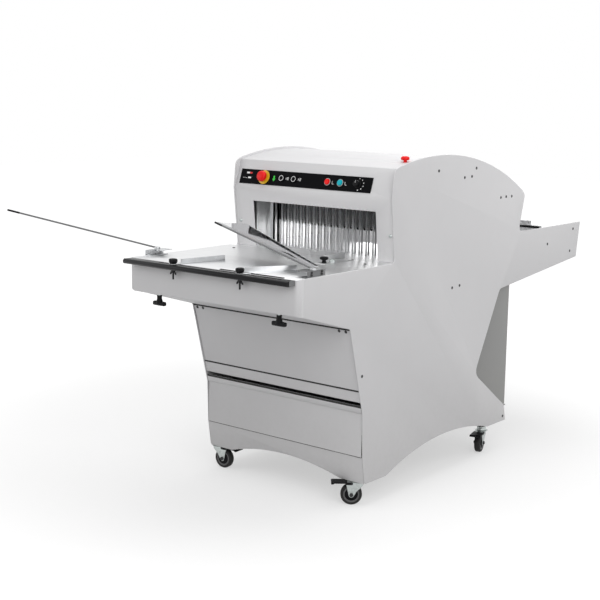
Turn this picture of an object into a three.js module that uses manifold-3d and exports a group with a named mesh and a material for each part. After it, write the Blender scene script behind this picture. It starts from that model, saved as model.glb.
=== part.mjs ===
// A floor standing bread slicer on four braked casters.
// Millimetres, +Z up, +X to the operator's right, -Y towards the operator. The body's lengths along Y are
// places measured from the middle of the body, and its heights are stacked from the floor up.
import * as THREE from 'three';
import { mergeVertices } from 'three/addons/utils/BufferGeometryUtils.js';
import Module from 'manifold-3d';

const wasm = await Module();
wasm.setup();

// Clearances, seams and overruns
const gap = 0.3;
const sideSeam = 1.5;
const doorSeam = 4;
const overrun = 6;

// Counts and shares
const curveSteps = 4;
const fineSides = 28;
const roundSides = 20;
const pinSides = 12;
const tangentShare = 0.49;

// Body
const bodyWidth = 720;
const panelThickness = 4;
const sheet = 3;
const thinSheet = 2;
const panelInside = bodyWidth / 2 - panelThickness;
const fitHalf = panelInside - gap;

// Heights, stacked from the floor up
const footHeight = 84;
const kickHeight = 98;
const drawerHeight = 155;
const gripHeight = 27;
const fingerSlot = 12;
const railHeight = 44;
const doorHeight = 220;
const underRise = 82;
const apronHeight = 113;
const kickTop = footHeight + kickHeight;
const foldZ = kickTop + drawerHeight;
const gripTop = foldZ + gripHeight;
const railFoot = gripTop + fingerSlot;
const doorFoot = railFoot + railHeight;
const doorTop = doorFoot + doorHeight;
const apronFoot = doorTop + underRise;
const tableZ = apronFoot + apronHeight;

// Places along Y of the front faces
const apronY = -956;
const doorTopY = -674;
const foldY = -594;
const kickTopY = -588;
const footY = -573;
const faceRecess = 4;

// Head: its front edge, the arch over it and its rear corner
const head = {
  footY: -428, noseY: -453, browY: -443, archStartY: -405, archEndY: 440, tailY: 464, tailFootY: 425,
  noseRise: 218, browRise: 317, tailFall: 20.2,
  crownY: -145, crownRise: 359, archRadius: 1170,
  footRound: 16, noseRound: 40, browRound: 36, tailRound: 24, throatRound: 22,
};
const headCentreZ = tableZ + head.crownRise - head.archRadius;

// Infeed cheeks and the panels' underside
const infeed = {
  cheekRise: 38, topY: 955, footY: 932, footDrop: 110, kneeY: 297, kneeDrop: 175,
  notchY: 132, notchZ: 350, notchRound: 40, heelY: 368, heelZ: 182, heelRound: 24, rearFootY: 383,
  cornerRound: 6, kneeRound: 26,
};
const rearFootZ = 118;
const sideArch = { crownY: -50, crownZ: 159, radius: 1083 };
const frontToeY = -500;
const toeRound = 12;

// Fascia, its bread outlet and the roof above it
const fascia = { noseY: -449, browY: -414, footY: -425, browRise: 320 };
const outlet = { leftInset: 91, rightInset: 74, rise: 172 };
const outletLeft = outlet.leftInset - bodyWidth / 2;
const outletRight = bodyWidth / 2 - outlet.rightInset;
const rimProud = 8;
const roofSheet = 2.5;

// Front table, which reaches past the left panel, and its slotted lip
const front = { reach: 24, lowRound: 16, foldDrop: 20 };
const frontLeft = -bodyWidth / 2 - front.reach;
const frontMiddle = (frontLeft + bodyWidth / 2) / 2;
const frontHalf = bodyWidth / 2 - frontMiddle;
const apronCorner = 14;
const apronReturn = 20;
const lip = { inset: 9, depth: 29, thickness: 18, rodRadius: 9, rodOut: 4 };
const lipLeft = frontMiddle - frontHalf + lip.inset;
const lipRight = frontMiddle + frontHalf - lip.inset;
const lipSlot = { leftInset: 147, rightInset: 40, width: 8, setback: 15 };
const slotLeft = lipLeft + lipSlot.leftInset;
const slotRight = lipRight - lipSlot.rightInset;

// Comb plate, blade frames and the blades that fill them
const comb = { frontY: -446, rearY: -250 };
const frame = {
  frontY: -330, rearY: -310, depth: 18, barHeight: 25, barWidth: 14, topRise: 260, footDrop: 135,
  sideInset: 84, stroke: 12,
};
const frameHalf = bodyWidth / 2 - frame.sideInset;
const blade = { pitch: 15, thickness: 1, depth: 12, slot: 3, setOut: 8 };
const bladeCount = 2 * Math.floor((frameHalf - frame.barWidth) / blade.pitch);

// Passage hood behind the blades
const hood = { frontY: -280, frontRise: 90, upRise: 285, rearDrop: 7.3 };

// Crank drive
const shaft = { y: -320, z: 516, radius: 10, left: -165, right: 235 };
const eccentric = { x: 60, width: 16, radius: 26 };
const rodEnd = { width: 12, wall: 12, eyeWall: 8, neck: 20, pinRadius: 6, pinDrop: 209 };
const eyeHalfY = frame.stroke + rodEnd.pinRadius + gap;
const eyeHalfZ = 2 * frame.stroke + rodEnd.pinRadius + gap;
const pinZ = tableZ - rodEnd.pinDrop;
const lugWidth = 10;
const lugMargin = 8;
const pulley = { x: 200, width: 25, crankRadius: 80, motorRadius: 40 };
const belt = { margin: 3, thickness: 5 };
const bearing = { x: 150, width: 10, halfDepth: 40, rise: 29 };
const shelf = { z: 400, frontY: -420, rearY: 120 };
const motor = { y: -40, height: 80, radius: 70, left: -70, right: 160, shaftRadius: 9.5, footWidth: 110 };
const terminalBox = { width: 80, depth: 60, rise: 25 };

// Crumb drawer, door and base
const drawer = { reach: 600, wall: 2, sideRise: 120, sideInset: 3 };
const doorReturn = 16;
const doorHinge = { setback: 8, drop: 13, radius: 4, inset: 18 };
const frontArch = { inset: 108, rise: 39 };
const tray = { thickness: 4, rearY: 384, legWidth: 36, legDepth: 36 };
const enclosure = { backY: 389, inset: 7, frontY: 128 };

// Casters
const caster = {
  middle: -8, frontInset: 31, rearInset: 51, frontY: -551, rearY: 300, height: 100, plate: 3, trail: 27,
  wheelRadius: 37.5, wheelWidth: 24, tyre: 8, hubRadius: 12, dish: 4,
  axleRadius: 4, legGap: 1.5, legThickness: 3, legHalf: 14, domeRadius: 18, domeHeight: 17.7,
  pivotZ: 78.5, pivotRadius: 2.5, pivotOut: 3.4, pedalLength: 56, pedalThickness: 5, pedalTip: 8,
  pedalOver: 3, earHalf: 5,
};
const frontTrack = bodyWidth / 2 - caster.frontInset;
const rearTrack = bodyWidth / 2 - caster.rearInset;
const casters = {
  front_left: { x: caster.middle - frontTrack, y: caster.frontY, heading: 184 },
  front_right: { x: caster.middle + frontTrack, y: caster.frontY, heading: 39 },
  rear_left: { x: caster.middle - rearTrack, y: caster.rearY, heading: -120 },
  rear_right: { x: caster.middle + rearTrack, y: caster.rearY, heading: 106 },
};

// Controls on the fascia's upper slope, placed from the slope's foot and from the strip's nearer end
const strip = { leftInset: 22, rightInset: 98, foot: 16, top: 71, thickness: 1.5 };
const stripLeft = strip.leftInset - bodyWidth / 2;
const stripRight = bodyWidth / 2 - strip.rightInset;
const controlRise = 44;
const stop = {
  inset: 115, capRadius: 20, capHeight: 18, lift: 7, stemRadius: 8, ringRadius: 26, ringHeight: 1.5,
};
const stopRadiusShares = { foot: 0.8, shoulder: 0.92, top: 0.6 };
const stopHeightShares = { foot: 0.3, shoulder: 0.75 };
const button = {
  redInset: 191, tealInset: 135, radius: 10.5, proud: 8, depth: 12, ringRadius: 15, ringHeight: 2.5,
};
const key = { leftInset: 200, rightInset: 257, radius: 11, proud: 6, stemRadius: 5, wing: 3, wingProud: 4 };
const dial = { inset: 60, radius: 14, proud: 17, stemRadius: 4, pointer: 2, skirt: 3 };
const spots = {
  stop: stripLeft + stop.inset, keyLeft: stripLeft + key.leftInset, keyRight: stripLeft + key.rightInset,
  red: stripRight - button.redInset, teal: stripRight - button.tealInset, dial: stripRight - dial.inset,
};
const roofStop = { inset: 44, y: -318, radius: 15.5, height: 14, lift: 6, stemRadius: 6, seat: 12 };
const roofStopX = bodyWidth / 2 - roofStop.inset;
const roofStopRadiusShares = { foot: 0.8, top: 0.7 };
const roofStopFootShare = 0.4;

// Pusher in the infeed
const pusher = { y: 620, thickness: 6, rise: 44, foot: 30, gripInset: 46.7, gripHeight: 18, gripDepth: 16 };

// Bagging paddles
const paddle = {
  length: 557, rodRadius: 3.5, rodOver: 2, sheetStart: 30, rootWidth: 50, tipWidth: 138, thickness: 1.5,
  hubRadius: 10.5, hubHeight: 7, pinRadius: 4, pinDrop: 8, tipRound: 8, rootRound: 14,
};
const bracket = {
  inset: 18, axisInset: 9, nearEnd: 36, farEnd: 52, height: 20, flangeFar: 12, flangeReach: 39, seat: 17,
};
const turnAbout = 180;
const paddles = {
  left: { x: frontMiddle - frontHalf + bracket.inset, y: -843, heading: 211, pitch: 12.2, roll: 10 },
  right: { x: frontMiddle + frontHalf - bracket.inset, y: -855, heading: 167, pitch: 9.8, roll: 5.5 },
};

// Table guides and their clamps
const guide = { length: 200, width: 30, rise: 18, thickness: 1.5, tail: 12 };
const clamp = { leftInset: 67, rightInset: 174, knobRadius: 15, knobHeight: 17, boltRadius: 3, drop: 51 };
const guides = {
  left: { x: slotLeft + clamp.leftInset, heading: 77, side: -1 },
  right: { x: slotRight - clamp.rightInset, heading: 60, side: 1 },
};
const clampRadiusShares = { foot: 0.7, top: 0.85 };
const clampHeightShares = { belly: 0.4, shoulder: 0.85 };
const clampWing = { span: 30, height: 9, thickness: 3, nutRadius: 6.5 };
const outletGuide = { inset: 78, frontY: -622, rearY: -450, width: 46, rise: 22, thickness: 1.5 };
const outletKnob = { inset: 25, setback: 28, stemRadius: 7, stemHeight: 12, radius: 15, height: 10 };

// T-knobs under the apron
const tee = {
  inset: 92, setback: 26, boltRadius: 5, neck: 9, flare: 12.5, drop: 45, barLength: 57, bar: 14, barDepth: 18,
};
const teeX = bodyWidth / 2 - tee.inset;

const finishes = {
  powder: { color: 0xd4d3d5, roughness: 0.5, metalness: 0.0 },
  darkPowder: { color: 0x8f8d8a, roughness: 0.55, metalness: 0.0 },
  stainless: { color: 0xc9cbcc, roughness: 0.28, metalness: 1.0 },
  zinc: { color: 0xb4b7ba, roughness: 0.35, metalness: 1.0 },
  steel: { color: 0x8b8e92, roughness: 0.4, metalness: 1.0 },
  rail: { color: 0x4a4b4c, roughness: 0.4, metalness: 0.8 },
  rubber: { color: 0x1c1d1f, roughness: 0.8, metalness: 0.0 },
  blackPlastic: { color: 0x141416, roughness: 0.45, metalness: 0.0 },
  panelBlack: { color: 0x101114, roughness: 0.3, metalness: 0.0 },
  red: { color: 0xe01b1b, roughness: 0.35, metalness: 0.0 },
  teal: { color: 0x1aa6b8, roughness: 0.35, metalness: 0.0 },
  motorGrey: { color: 0x5a6068, roughness: 0.6, metalness: 0.2 },
};

// Solids from closed geometries

function solid(geometry) {
  geometry.deleteAttribute('normal');
  geometry.deleteAttribute('uv');
  const welded = mergeVertices(geometry);
  return new wasm.Manifold(new wasm.Mesh({
    numProp: 3,
    vertProperties: Float32Array.from(welded.attributes.position.array),
    triVerts: Uint32Array.from(welded.index.array),
  }));
}

function join(...solids) {
  return solids.reduce((whole, piece) => whole.add(piece));
}

function cut(whole, ...tools) {
  return tools.reduce((rest, tool) => rest.subtract(tool), whole);
}

function block(x0, x1, y0, y1, z0, z1) {
  const geometry = new THREE.BoxGeometry(x1 - x0, y1 - y0, z1 - z0);
  geometry.translate((x0 + x1) / 2, (y0 + y1) / 2, (z0 + z1) / 2);
  return solid(geometry);
}

// An outline of points [u, v, radius] as a shape. A corner's round is limited by its shorter side.
function outlineShape(points) {
  const shape = new THREE.Shape();
  points.forEach(([u, v, radius = 0], index) => {
    const corner = new THREE.Vector2(u, v);
    const before = new THREE.Vector2(...points.at(index - 1).slice(0, 2)).sub(corner);
    const after = new THREE.Vector2(...points[(index + 1) % points.length].slice(0, 2)).sub(corner);
    const turn = Math.PI - Math.abs(Math.acos(before.dot(after) / before.length() / after.length()));
    const most = Math.min(before.length(), after.length()) * tangentShare;
    const tangent = Math.min(radius * Math.tan(turn / 2), most);
    const start = corner.clone().addScaledVector(before.normalize(), tangent);
    const end = corner.clone().addScaledVector(after.normalize(), tangent);
    if (index === 0) shape.moveTo(start.x, start.y);
    else shape.lineTo(start.x, start.y);
    if (tangent > 0) shape.quadraticCurveTo(corner.x, corner.y, end.x, end.y);
  });
  shape.closePath();
  return shape;
}

function extruded(points, length, basis, origin) {
  const options = { depth: length, bevelEnabled: false, curveSegments: curveSteps };
  const geometry = new THREE.ExtrudeGeometry(outlineShape(points), options);
  geometry.applyMatrix4(new THREE.Matrix4().makeBasis(...basis).setPosition(origin));
  return solid(geometry);
}

const alongX = new THREE.Vector3(1, 0, 0);
const alongY = new THREE.Vector3(0, 1, 0);
const alongZ = new THREE.Vector3(0, 0, 1);

// A prism along X of an outline in (y, z)
function prismX(points, x0, x1) {
  return extruded(points, x1 - x0, [alongY, alongZ, alongX], new THREE.Vector3(x0, 0, 0));
}

// A prism along Y of an outline in (x, z)
function prismY(points, y0, y1) {
  const back = alongY.clone().negate();
  return extruded(points, y1 - y0, [alongX, alongZ, back], new THREE.Vector3(0, y1, 0));
}

// A prism along Z of an outline in (x, y)
function prismZ(points, z0, z1) {
  return extruded(points, z1 - z0, [alongX, alongY, alongZ], new THREE.Vector3(0, 0, z0));
}

// A solid of revolution about Z. The profile's points are [radius, z].
function turned(profile, sides = roundSides) {
  const geometry = new THREE.LatheGeometry(profile.map(([r, z]) => new THREE.Vector2(r, z)), sides);
  geometry.rotateX(Math.PI / 2);
  return solid(geometry);
}

function rodZ(radius, x, y, z0, z1, sides = roundSides) {
  return turned([[0, z0], [radius, z0], [radius, z1], [0, z1]], sides).translate([x, y, 0]);
}

function rodX(radius, x0, x1, y, z, sides = roundSides) {
  return turned([[0, x0], [radius, x0], [radius, x1], [0, x1]], sides)
    .rotate([0, 90, 0]).translate([0, y, z]);
}

function rodY(radius, y0, y1, x, z, sides = roundSides) {
  return turned([[0, -y1], [radius, -y1], [radius, -y0], [0, -y0]], sides)
    .rotate([90, 0, 0]).translate([x, 0, z]);
}

// Height of a round arch at a place, where its crown is at (crown, centre + radius)
function archHeight(crown, centre, radius, place) {
  return centre + Math.sqrt(radius ** 2 - (place - crown) ** 2);
}

// Half the span of a round arch at a depth below its crown
function archReach(radius, depth) {
  return Math.sqrt(2 * radius * depth - depth ** 2);
}

// Points of a round arch from one place to another
function archPoints(crown, centre, radius, from, to, steps) {
  return Array.from({ length: steps + 1 }, (_, step) => {
    const place = from + (to - from) * step / steps;
    return [place, archHeight(crown, centre, radius, place)];
  });
}

const object = new THREE.Group();

function addMesh(name, manifold, finish, parent = object) {
  const result = manifold.getMesh();
  const geometry = new THREE.BufferGeometry();
  geometry.setAttribute('position', new THREE.BufferAttribute(result.vertProperties, 3));
  geometry.setIndex(new THREE.BufferAttribute(result.triVerts, 1));
  geometry.computeVertexNormals();
  const mesh = new THREE.Mesh(geometry, new THREE.MeshStandardMaterial(finishes[finish]));
  mesh.name = name;
  parent.add(mesh);
}

// Side panels

const archSteps = 14;

// The left panel's top edge lies lower by the ledge that the table rests over
function panelOutline(ledge) {
  const apronBack = apronY + apronCorner + apronReturn + gap;
  const archEndZ = archHeight(head.crownY, headCentreZ, head.archRadius, head.archEndY);
  const { crownY, crownZ, radius } = sideArch;
  const archRear = crownY + archReach(radius, crownZ - rearFootZ);
  const archFront = crownY - archReach(radius, crownZ - footHeight);
  return [
    [apronBack, underLine(apronBack)],
    [apronBack, tableZ - ledge],
    [head.footY, tableZ - ledge, head.footRound],
    [head.noseY, tableZ + head.noseRise, head.noseRound],
    [head.browY, tableZ + head.browRise, head.browRound],
    ...archPoints(head.crownY, headCentreZ, head.archRadius, head.archStartY, head.archEndY, archSteps),
    [head.tailY, archEndZ - head.tailFall, head.tailRound],
    [head.tailFootY, tableZ + infeed.cheekRise, head.throatRound],
    [infeed.topY, tableZ + infeed.cheekRise, infeed.cornerRound],
    [infeed.footY, tableZ - infeed.footDrop, infeed.cornerRound],
    [infeed.kneeY, tableZ - infeed.kneeDrop, infeed.kneeRound],
    [infeed.notchY, infeed.notchZ, infeed.notchRound],
    [infeed.heelY, infeed.heelZ, infeed.heelRound],
    [infeed.rearFootY, rearFootZ],
    ...archPoints(crownY, crownZ - radius, radius, archRear, archFront, archSteps),
    [frontToeY, footHeight],
    [footY, footHeight, toeRound],
    [kickTopY, kickTop],
    [foldY, foldZ],
    [doorTopY, doorTop, toeRound],
  ];
}

// Height of the sloping underside between the door's top and the apron's foot
function underLine(y) {
  return doorTop + underRise * (doorTopY - y) / (doorTopY - apronY);
}

function addSidePanels() {
  const left = prismX(panelOutline(sheet + gap), -bodyWidth / 2, -panelInside);
  const right = prismX(panelOutline(0), panelInside, bodyWidth / 2);
  addMesh('side_panel_left', join(left, hingePin(-1, 0)), 'powder');
  addMesh('side_panel_right', join(right, hingePin(1, 0)), 'powder');
}

// Head

const slopeLean = Math.atan2(fascia.browY - fascia.noseY, fascia.browRise - head.noseRise);

// Moves a solid from the slope's own frame, whose origin is its foot, to the body's
function ontoSlope(piece) {
  return piece.rotate([-THREE.MathUtils.radToDeg(slopeLean), 0, 0])
    .translate([0, fascia.noseY, tableZ + head.noseRise]);
}

function slopeBore(radius, x) {
  return ontoSlope(rodY(radius, -overrun, overrun + sheet, x, controlRise));
}

function controlBores() {
  return [
    slopeBore(stop.stemRadius + gap, spots.stop),
    slopeBore(button.radius + gap, spots.red),
    slopeBore(button.radius + gap, spots.teal),
    slopeBore(key.stemRadius + gap, spots.keyLeft),
    slopeBore(key.stemRadius + gap, spots.keyRight),
    slopeBore(dial.stemRadius + gap, spots.dial),
  ];
}

function addFascia() {
  const lower = [
    [fascia.footY, tableZ + gap],
    [fascia.noseY, tableZ + head.noseRise],
    [fascia.browY, tableZ + fascia.browRise],
  ];
  const back = lower.map(([y, z]) => [y + sheet, z]).reverse();
  const wall = prismX([...lower, ...back], -fitHalf, fitHalf);
  const mouth = block(outletLeft, outletRight, fascia.noseY - overrun, fascia.browY + overrun,
    tableZ - overrun, tableZ + outlet.rise);
  addMesh('head_fascia', cut(wall, mouth, ...controlBores()), 'powder');
}

// Height of the roof's outer or, with a depth, inner face at a place
function roofHeight(y, depth = 0) {
  return archHeight(head.crownY, headCentreZ, head.archRadius - rimProud - depth, y);
}

function addRoof() {
  const outer = head.archRadius - rimProud;
  const from = fascia.browY + sheet + gap;
  const to = head.tailY - rimProud;
  const top = archPoints(head.crownY, headCentreZ, outer, from, to, archSteps);
  const under = archPoints(head.crownY, headCentreZ, outer - roofSheet, to, from, archSteps);
  const bore = rodZ(roofStop.stemRadius + gap, roofStopX, roofStop.y, tableZ, tableZ + head.archRadius);
  addMesh('roof_cover', cut(prismX([...top, ...under], -fitHalf, fitHalf), bore), 'powder');
}

// A bent sheet from behind the blades down to the passage's ceiling and back to the roof's tail
function addPassageHood() {
  const tail = head.tailY - rimProud;
  const underRoof = roofHeight(tail, roofSheet) - gap;
  const rearZ = underRoof - hood.rearDrop;
  const line = [
    [hood.frontY, tableZ + hood.upRise],
    [hood.frontY, tableZ + hood.frontRise],
    [tail, rearZ],
    [tail, underRoof],
  ];
  const inner = [
    [tail - thinSheet, underRoof],
    [tail - thinSheet, rearZ + thinSheet],
    [hood.frontY + thinSheet, tableZ + hood.frontRise + thinSheet],
    [hood.frontY + thinSheet, tableZ + hood.upRise],
  ];
  addMesh('passage_hood', prismX([...line, ...inner], -fitHalf, fitHalf), 'darkPowder');
}

// Front apron, table and lip

function addApron() {
  const right = bodyWidth / 2;
  const backY = apronY + apronCorner + apronReturn;
  const outer = prismZ([
    [frontLeft, backY], [frontLeft, apronY, apronCorner], [right, apronY, apronCorner], [right, backY],
  ], doorTop, tableZ);
  const core = prismZ([
    [frontLeft + thinSheet, backY + overrun],
    [frontLeft + thinSheet, apronY + thinSheet, apronCorner - thinSheet],
    [right - thinSheet, apronY + thinSheet, apronCorner - thinSheet], [right - thinSheet, backY + overrun],
  ], doorTop - overrun, tableZ + overrun);
  const endBlock = outer.intersect(block(frontLeft, -right, apronY, backY, doorTop, tableZ - sheet - gap));
  const below = prismX([
    [apronY - overrun, underLine(apronY)], [apronY - overrun, doorTop - overrun],
    [backY + overrun, doorTop - overrun], [backY + overrun, underLine(backY + overrun)],
  ], frontLeft - overrun, right + overrun);
  const sheetFront = apronY + thinSheet / 2;
  const sheetBack = doorTopY + faceRecess;
  const under = prismX([
    [sheetFront, underLine(sheetFront)], [sheetFront, underLine(sheetFront) + thinSheet],
    [sheetBack, underLine(sheetBack) + thinSheet], [sheetBack, underLine(sheetBack)],
  ], frontLeft, right);
  const plan = prismZ([
    [-fitHalf, doorTopY + overrun], [-fitHalf, backY], [frontLeft, backY], [frontLeft, apronY, apronCorner],
    [right, apronY, apronCorner], [right, backY], [fitHalf, backY], [fitHalf, doorTopY + overrun],
  ], doorTop - overrun, tableZ);
  const round = front.lowRound;
  const corner = cut(
    block(frontLeft - overrun, frontLeft + round, apronY - overrun, backY + overrun, doorTop - overrun,
      apronFoot + round),
    rodY(round, apronY - 2 * overrun, backY + 2 * overrun, frontLeft + round, apronFoot + round),
  );
  const bores = [-teeX, teeX].map((x) => teeBore(x));
  const shell = cut(join(cut(outer, core), endBlock), below);
  addMesh('front_apron', cut(join(shell, under.intersect(plan)), corner, ...bores), 'powder');
}

function teeBore(x) {
  return rodZ(tee.boltRadius + gap, x, apronY + tee.setback, apronFoot - tee.drop, apronFoot + tee.drop);
}

// The table's sheet lies between the right panel and a fold outside the left one
function addFrontTable() {
  const left = frontLeft + thinSheet + gap;
  const frontY = apronY + thinSheet + gap;
  const foldY0 = apronY + apronCorner + apronReturn + gap;
  const rearY = comb.frontY - gap;
  const round = apronCorner - thinSheet;
  const top = prismZ([
    [left, rearY], [left, frontY, round], [fitHalf, frontY, round], [fitHalf, rearY],
  ], tableZ - sheet, tableZ);
  const fold = block(left, left + thinSheet, foldY0, rearY, tableZ - front.foldDrop, tableZ);
  addMesh('front_table', join(top, fold), 'stainless');
}

const slotY = apronY - gap - lipSlot.setback;

function addLipRail() {
  const back = apronY - gap;
  const rodY0 = back - lip.depth;
  const strap = block(lipLeft, lipRight, rodY0, back, tableZ - lip.thickness, tableZ);
  const rod = rodX(lip.rodRadius, lipLeft - lip.rodOut, lipRight, rodY0, tableZ - lip.rodRadius);
  const slot = block(slotLeft, slotRight, slotY - lipSlot.width / 2, slotY + lipSlot.width / 2,
    tableZ - lip.thickness - overrun, tableZ + overrun);
  addMesh('lip_rail', cut(join(strap, rod), slot), 'rail');
}

// Comb plate, infeed and the body's rear

function bladeX(index) {
  return (index - (bladeCount - 1) / 2) * blade.pitch;
}

function addCombPlate() {
  const frontEdge = frame.frontY - blade.setOut - blade.depth / 2;
  const rearEdge = frame.rearY + frame.depth / 2;
  const plate = block(-fitHalf, fitHalf, comb.frontY, comb.rearY, tableZ - sheet, tableZ);
  const slots = Array.from({ length: bladeCount }, (_, index) => {
    const x = bladeX(index);
    return block(x - blade.slot / 2, x + blade.slot / 2, frontEdge - overrun, comb.rearY + overrun,
      tableZ - sheet - overrun, tableZ + overrun);
  });
  const notches = [-1, 1].map((side) => {
    const inner = side * (frameHalf - frame.barWidth - overrun / 2);
    const outer = side * (bodyWidth / 2);
    return block(Math.min(inner, outer), Math.max(inner, outer), frontEdge - overrun, rearEdge + overrun,
      tableZ - sheet - overrun, tableZ + overrun);
  });
  addMesh('comb_plate', cut(plate, ...slots, ...notches), 'stainless');
}

function addInfeedBed() {
  const frontY = comb.rearY + gap;
  addMesh('infeed_bed', block(-fitHalf, fitHalf, frontY, infeed.footY, tableZ - sheet, tableZ), 'stainless');
}

// The cheeks' rear edge as a function of height, and the underside's height as a function of place
function rearLine(z) {
  const rise = infeed.footDrop + infeed.cheekRise;
  return infeed.footY + (infeed.topY - infeed.footY) * (z - tableZ + infeed.footDrop) / rise;
}

function bellyLine(y) {
  const climb = infeed.kneeDrop - infeed.footDrop;
  return tableZ - infeed.kneeDrop + climb * (y - infeed.kneeY) / (infeed.footY - infeed.kneeY);
}

function addInfeedShell() {
  const footZ = tableZ - infeed.footDrop;
  const topZ = tableZ - sheet - gap;
  const startY = infeed.kneeY + faceRecess;
  const skin = [
    [startY, bellyLine(startY)],
    [infeed.footY - faceRecess, footZ, infeed.cornerRound],
    [rearLine(topZ) - faceRecess, topZ],
    [rearLine(topZ) - faceRecess - thinSheet, topZ],
    [infeed.footY - faceRecess - thinSheet, footZ + thinSheet],
    [startY, bellyLine(startY) + thinSheet],
  ];
  addMesh('infeed_shell', prismX(skin, -fitHalf, fitHalf), 'powder');
}

function addRearEnclosure() {
  const half = panelInside - enclosure.inset;
  const inner = half - thinSheet;
  const topZ = tableZ - infeed.footDrop;
  const outerBox = block(-half, half, enclosure.frontY, enclosure.backY, kickTop + gap, topZ);
  const core = block(-inner, inner, enclosure.frontY - overrun, enclosure.backY - thinSheet,
    kickTop - overrun, topZ + overrun);
  const rearMost = enclosure.backY + overrun;
  const kneeZ = bellyLine(infeed.kneeY) - gap;
  const above = prismX([
    [enclosure.frontY - overrun, kneeZ], [infeed.kneeY, kneeZ], [rearMost, bellyLine(rearMost) - gap],
    [rearMost, topZ + overrun], [enclosure.frontY - overrun, topZ + overrun],
  ], -bodyWidth, bodyWidth);
  addMesh('rear_enclosure', cut(outerBox, core, above), 'darkPowder');
}

// Base: arched front, tray with its caster legs, cross rail

function addBaseFront() {
  const wall = prismX([
    [footY, footHeight], [kickTopY, kickTop - sideSeam], [kickTopY + sheet, kickTop - sideSeam],
    [footY + sheet, footHeight],
  ], -fitHalf, fitHalf);
  const halfSpan = bodyWidth / 2 - frontArch.inset;
  const radius = (halfSpan ** 2 + frontArch.rise ** 2) / (2 * frontArch.rise);
  const centre = footHeight + frontArch.rise - radius;
  const arch = prismY([
    ...archPoints(0, centre, radius, -halfSpan, halfSpan, archSteps),
    [halfSpan, footHeight - overrun], [-halfSpan, footHeight - overrun],
  ], kickTopY - overrun, footY + overrun);
  addMesh('base_front', cut(wall, arch), 'powder');
}

function addChassis() {
  const lean = (footY - kickTopY) * tray.thickness / kickHeight;
  const frontY = kickTopY + lean + sheet + gap;
  const floor = block(-fitHalf, fitHalf, frontY, tray.rearY, kickTop - tray.thickness, kickTop);
  const half = tray.legWidth / 2;
  const legs = Object.values(casters).map(({ x, y }) => block(x - half, x + half, y - tray.legDepth / 2,
    y + tray.legDepth / 2, caster.height, kickTop - tray.thickness / 2));
  addMesh('chassis', join(floor, ...legs), 'darkPowder');
}

// Place of the leaning front face at a height, between the fold and the door's top
function leanY(z) {
  return foldY + (doorTopY - foldY) * (z - foldZ) / (doorTop - foldZ);
}

// A sheet that leans with the front, from one height to another
function leaningSheet(z0, z1, setback, thickness, half) {
  return prismX([
    [leanY(z0) + setback, z0], [leanY(z1) + setback, z1],
    [leanY(z1) + setback + thickness, z1], [leanY(z0) + setback + thickness, z0],
  ], -half, half);
}

function addCrossRail() {
  const top = doorFoot - doorSeam;
  const face = leaningSheet(railFoot, top, faceRecess, thinSheet, fitHalf);
  const back = faceRecess + doorReturn;
  const sill = prismX([
    [leanY(railFoot) + faceRecess, railFoot], [leanY(railFoot) + faceRecess, railFoot + thinSheet],
    [leanY(railFoot) + back, railFoot + thinSheet], [leanY(railFoot) + back, railFoot],
  ], -fitHalf, fitHalf);
  addMesh('cross_rail', join(face, sill), 'powder');
}

const hingeY = leanY(doorTop) + doorHinge.setback + faceRecess;
const hingeZ = doorTop - doorHinge.drop;

// The door's pan: its face and its returns, which hang on a pin at each upper corner
function addDoor() {
  const half = panelInside - sideSeam;
  const z0 = doorFoot;
  const z1 = doorTop - gap - faceRecess;
  const pan = leaningSheet(z0, z1, faceRecess, doorReturn, half);
  const hollow = leaningSheet(z0 + thinSheet, z1 - thinSheet, faceRecess + thinSheet, doorReturn + overrun,
    half - thinSheet);
  addMesh('access_door', cut(pan, hollow, hingePin(-1, gap), hingePin(1, gap)), 'powder');
}

// A hinge pin that stands in from a side panel, or with a clearance the bore for it
function hingePin(side, clearance) {
  const outer = side * (panelInside + panelThickness / 2);
  const inner = side * (panelInside - doorHinge.inset - clearance);
  return rodX(doorHinge.radius + clearance, Math.min(inner, outer), Math.max(inner, outer), hingeY, hingeZ,
    pinSides);
}

function addDrawer() {
  const half = panelInside - sideSeam;
  const frontY = foldY + faceRecess;
  const face = block(-half, half, frontY, frontY + thinSheet, kickTop + gap, foldZ);
  const grip = prismX([
    [frontY, foldZ - thinSheet], [leanY(gripTop) + faceRecess, gripTop],
    [leanY(gripTop) + faceRecess + thinSheet, gripTop], [frontY + thinSheet, foldZ - thinSheet],
  ], -half, half);
  const binHalf = half - drawer.sideInset;
  const backY = frontY + drawer.reach;
  const bin = block(-binHalf, binHalf, frontY, backY, kickTop + gap, kickTop + drawer.sideRise);
  const hollow = block(-binHalf + drawer.wall, binHalf - drawer.wall, frontY + thinSheet, backY - drawer.wall,
    kickTop + gap + drawer.wall, kickTop + drawer.sideRise + overrun);
  addMesh('crumb_drawer', join(face, grip, cut(bin, hollow)), 'powder');
}

// Blade frames and their guides

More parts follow.
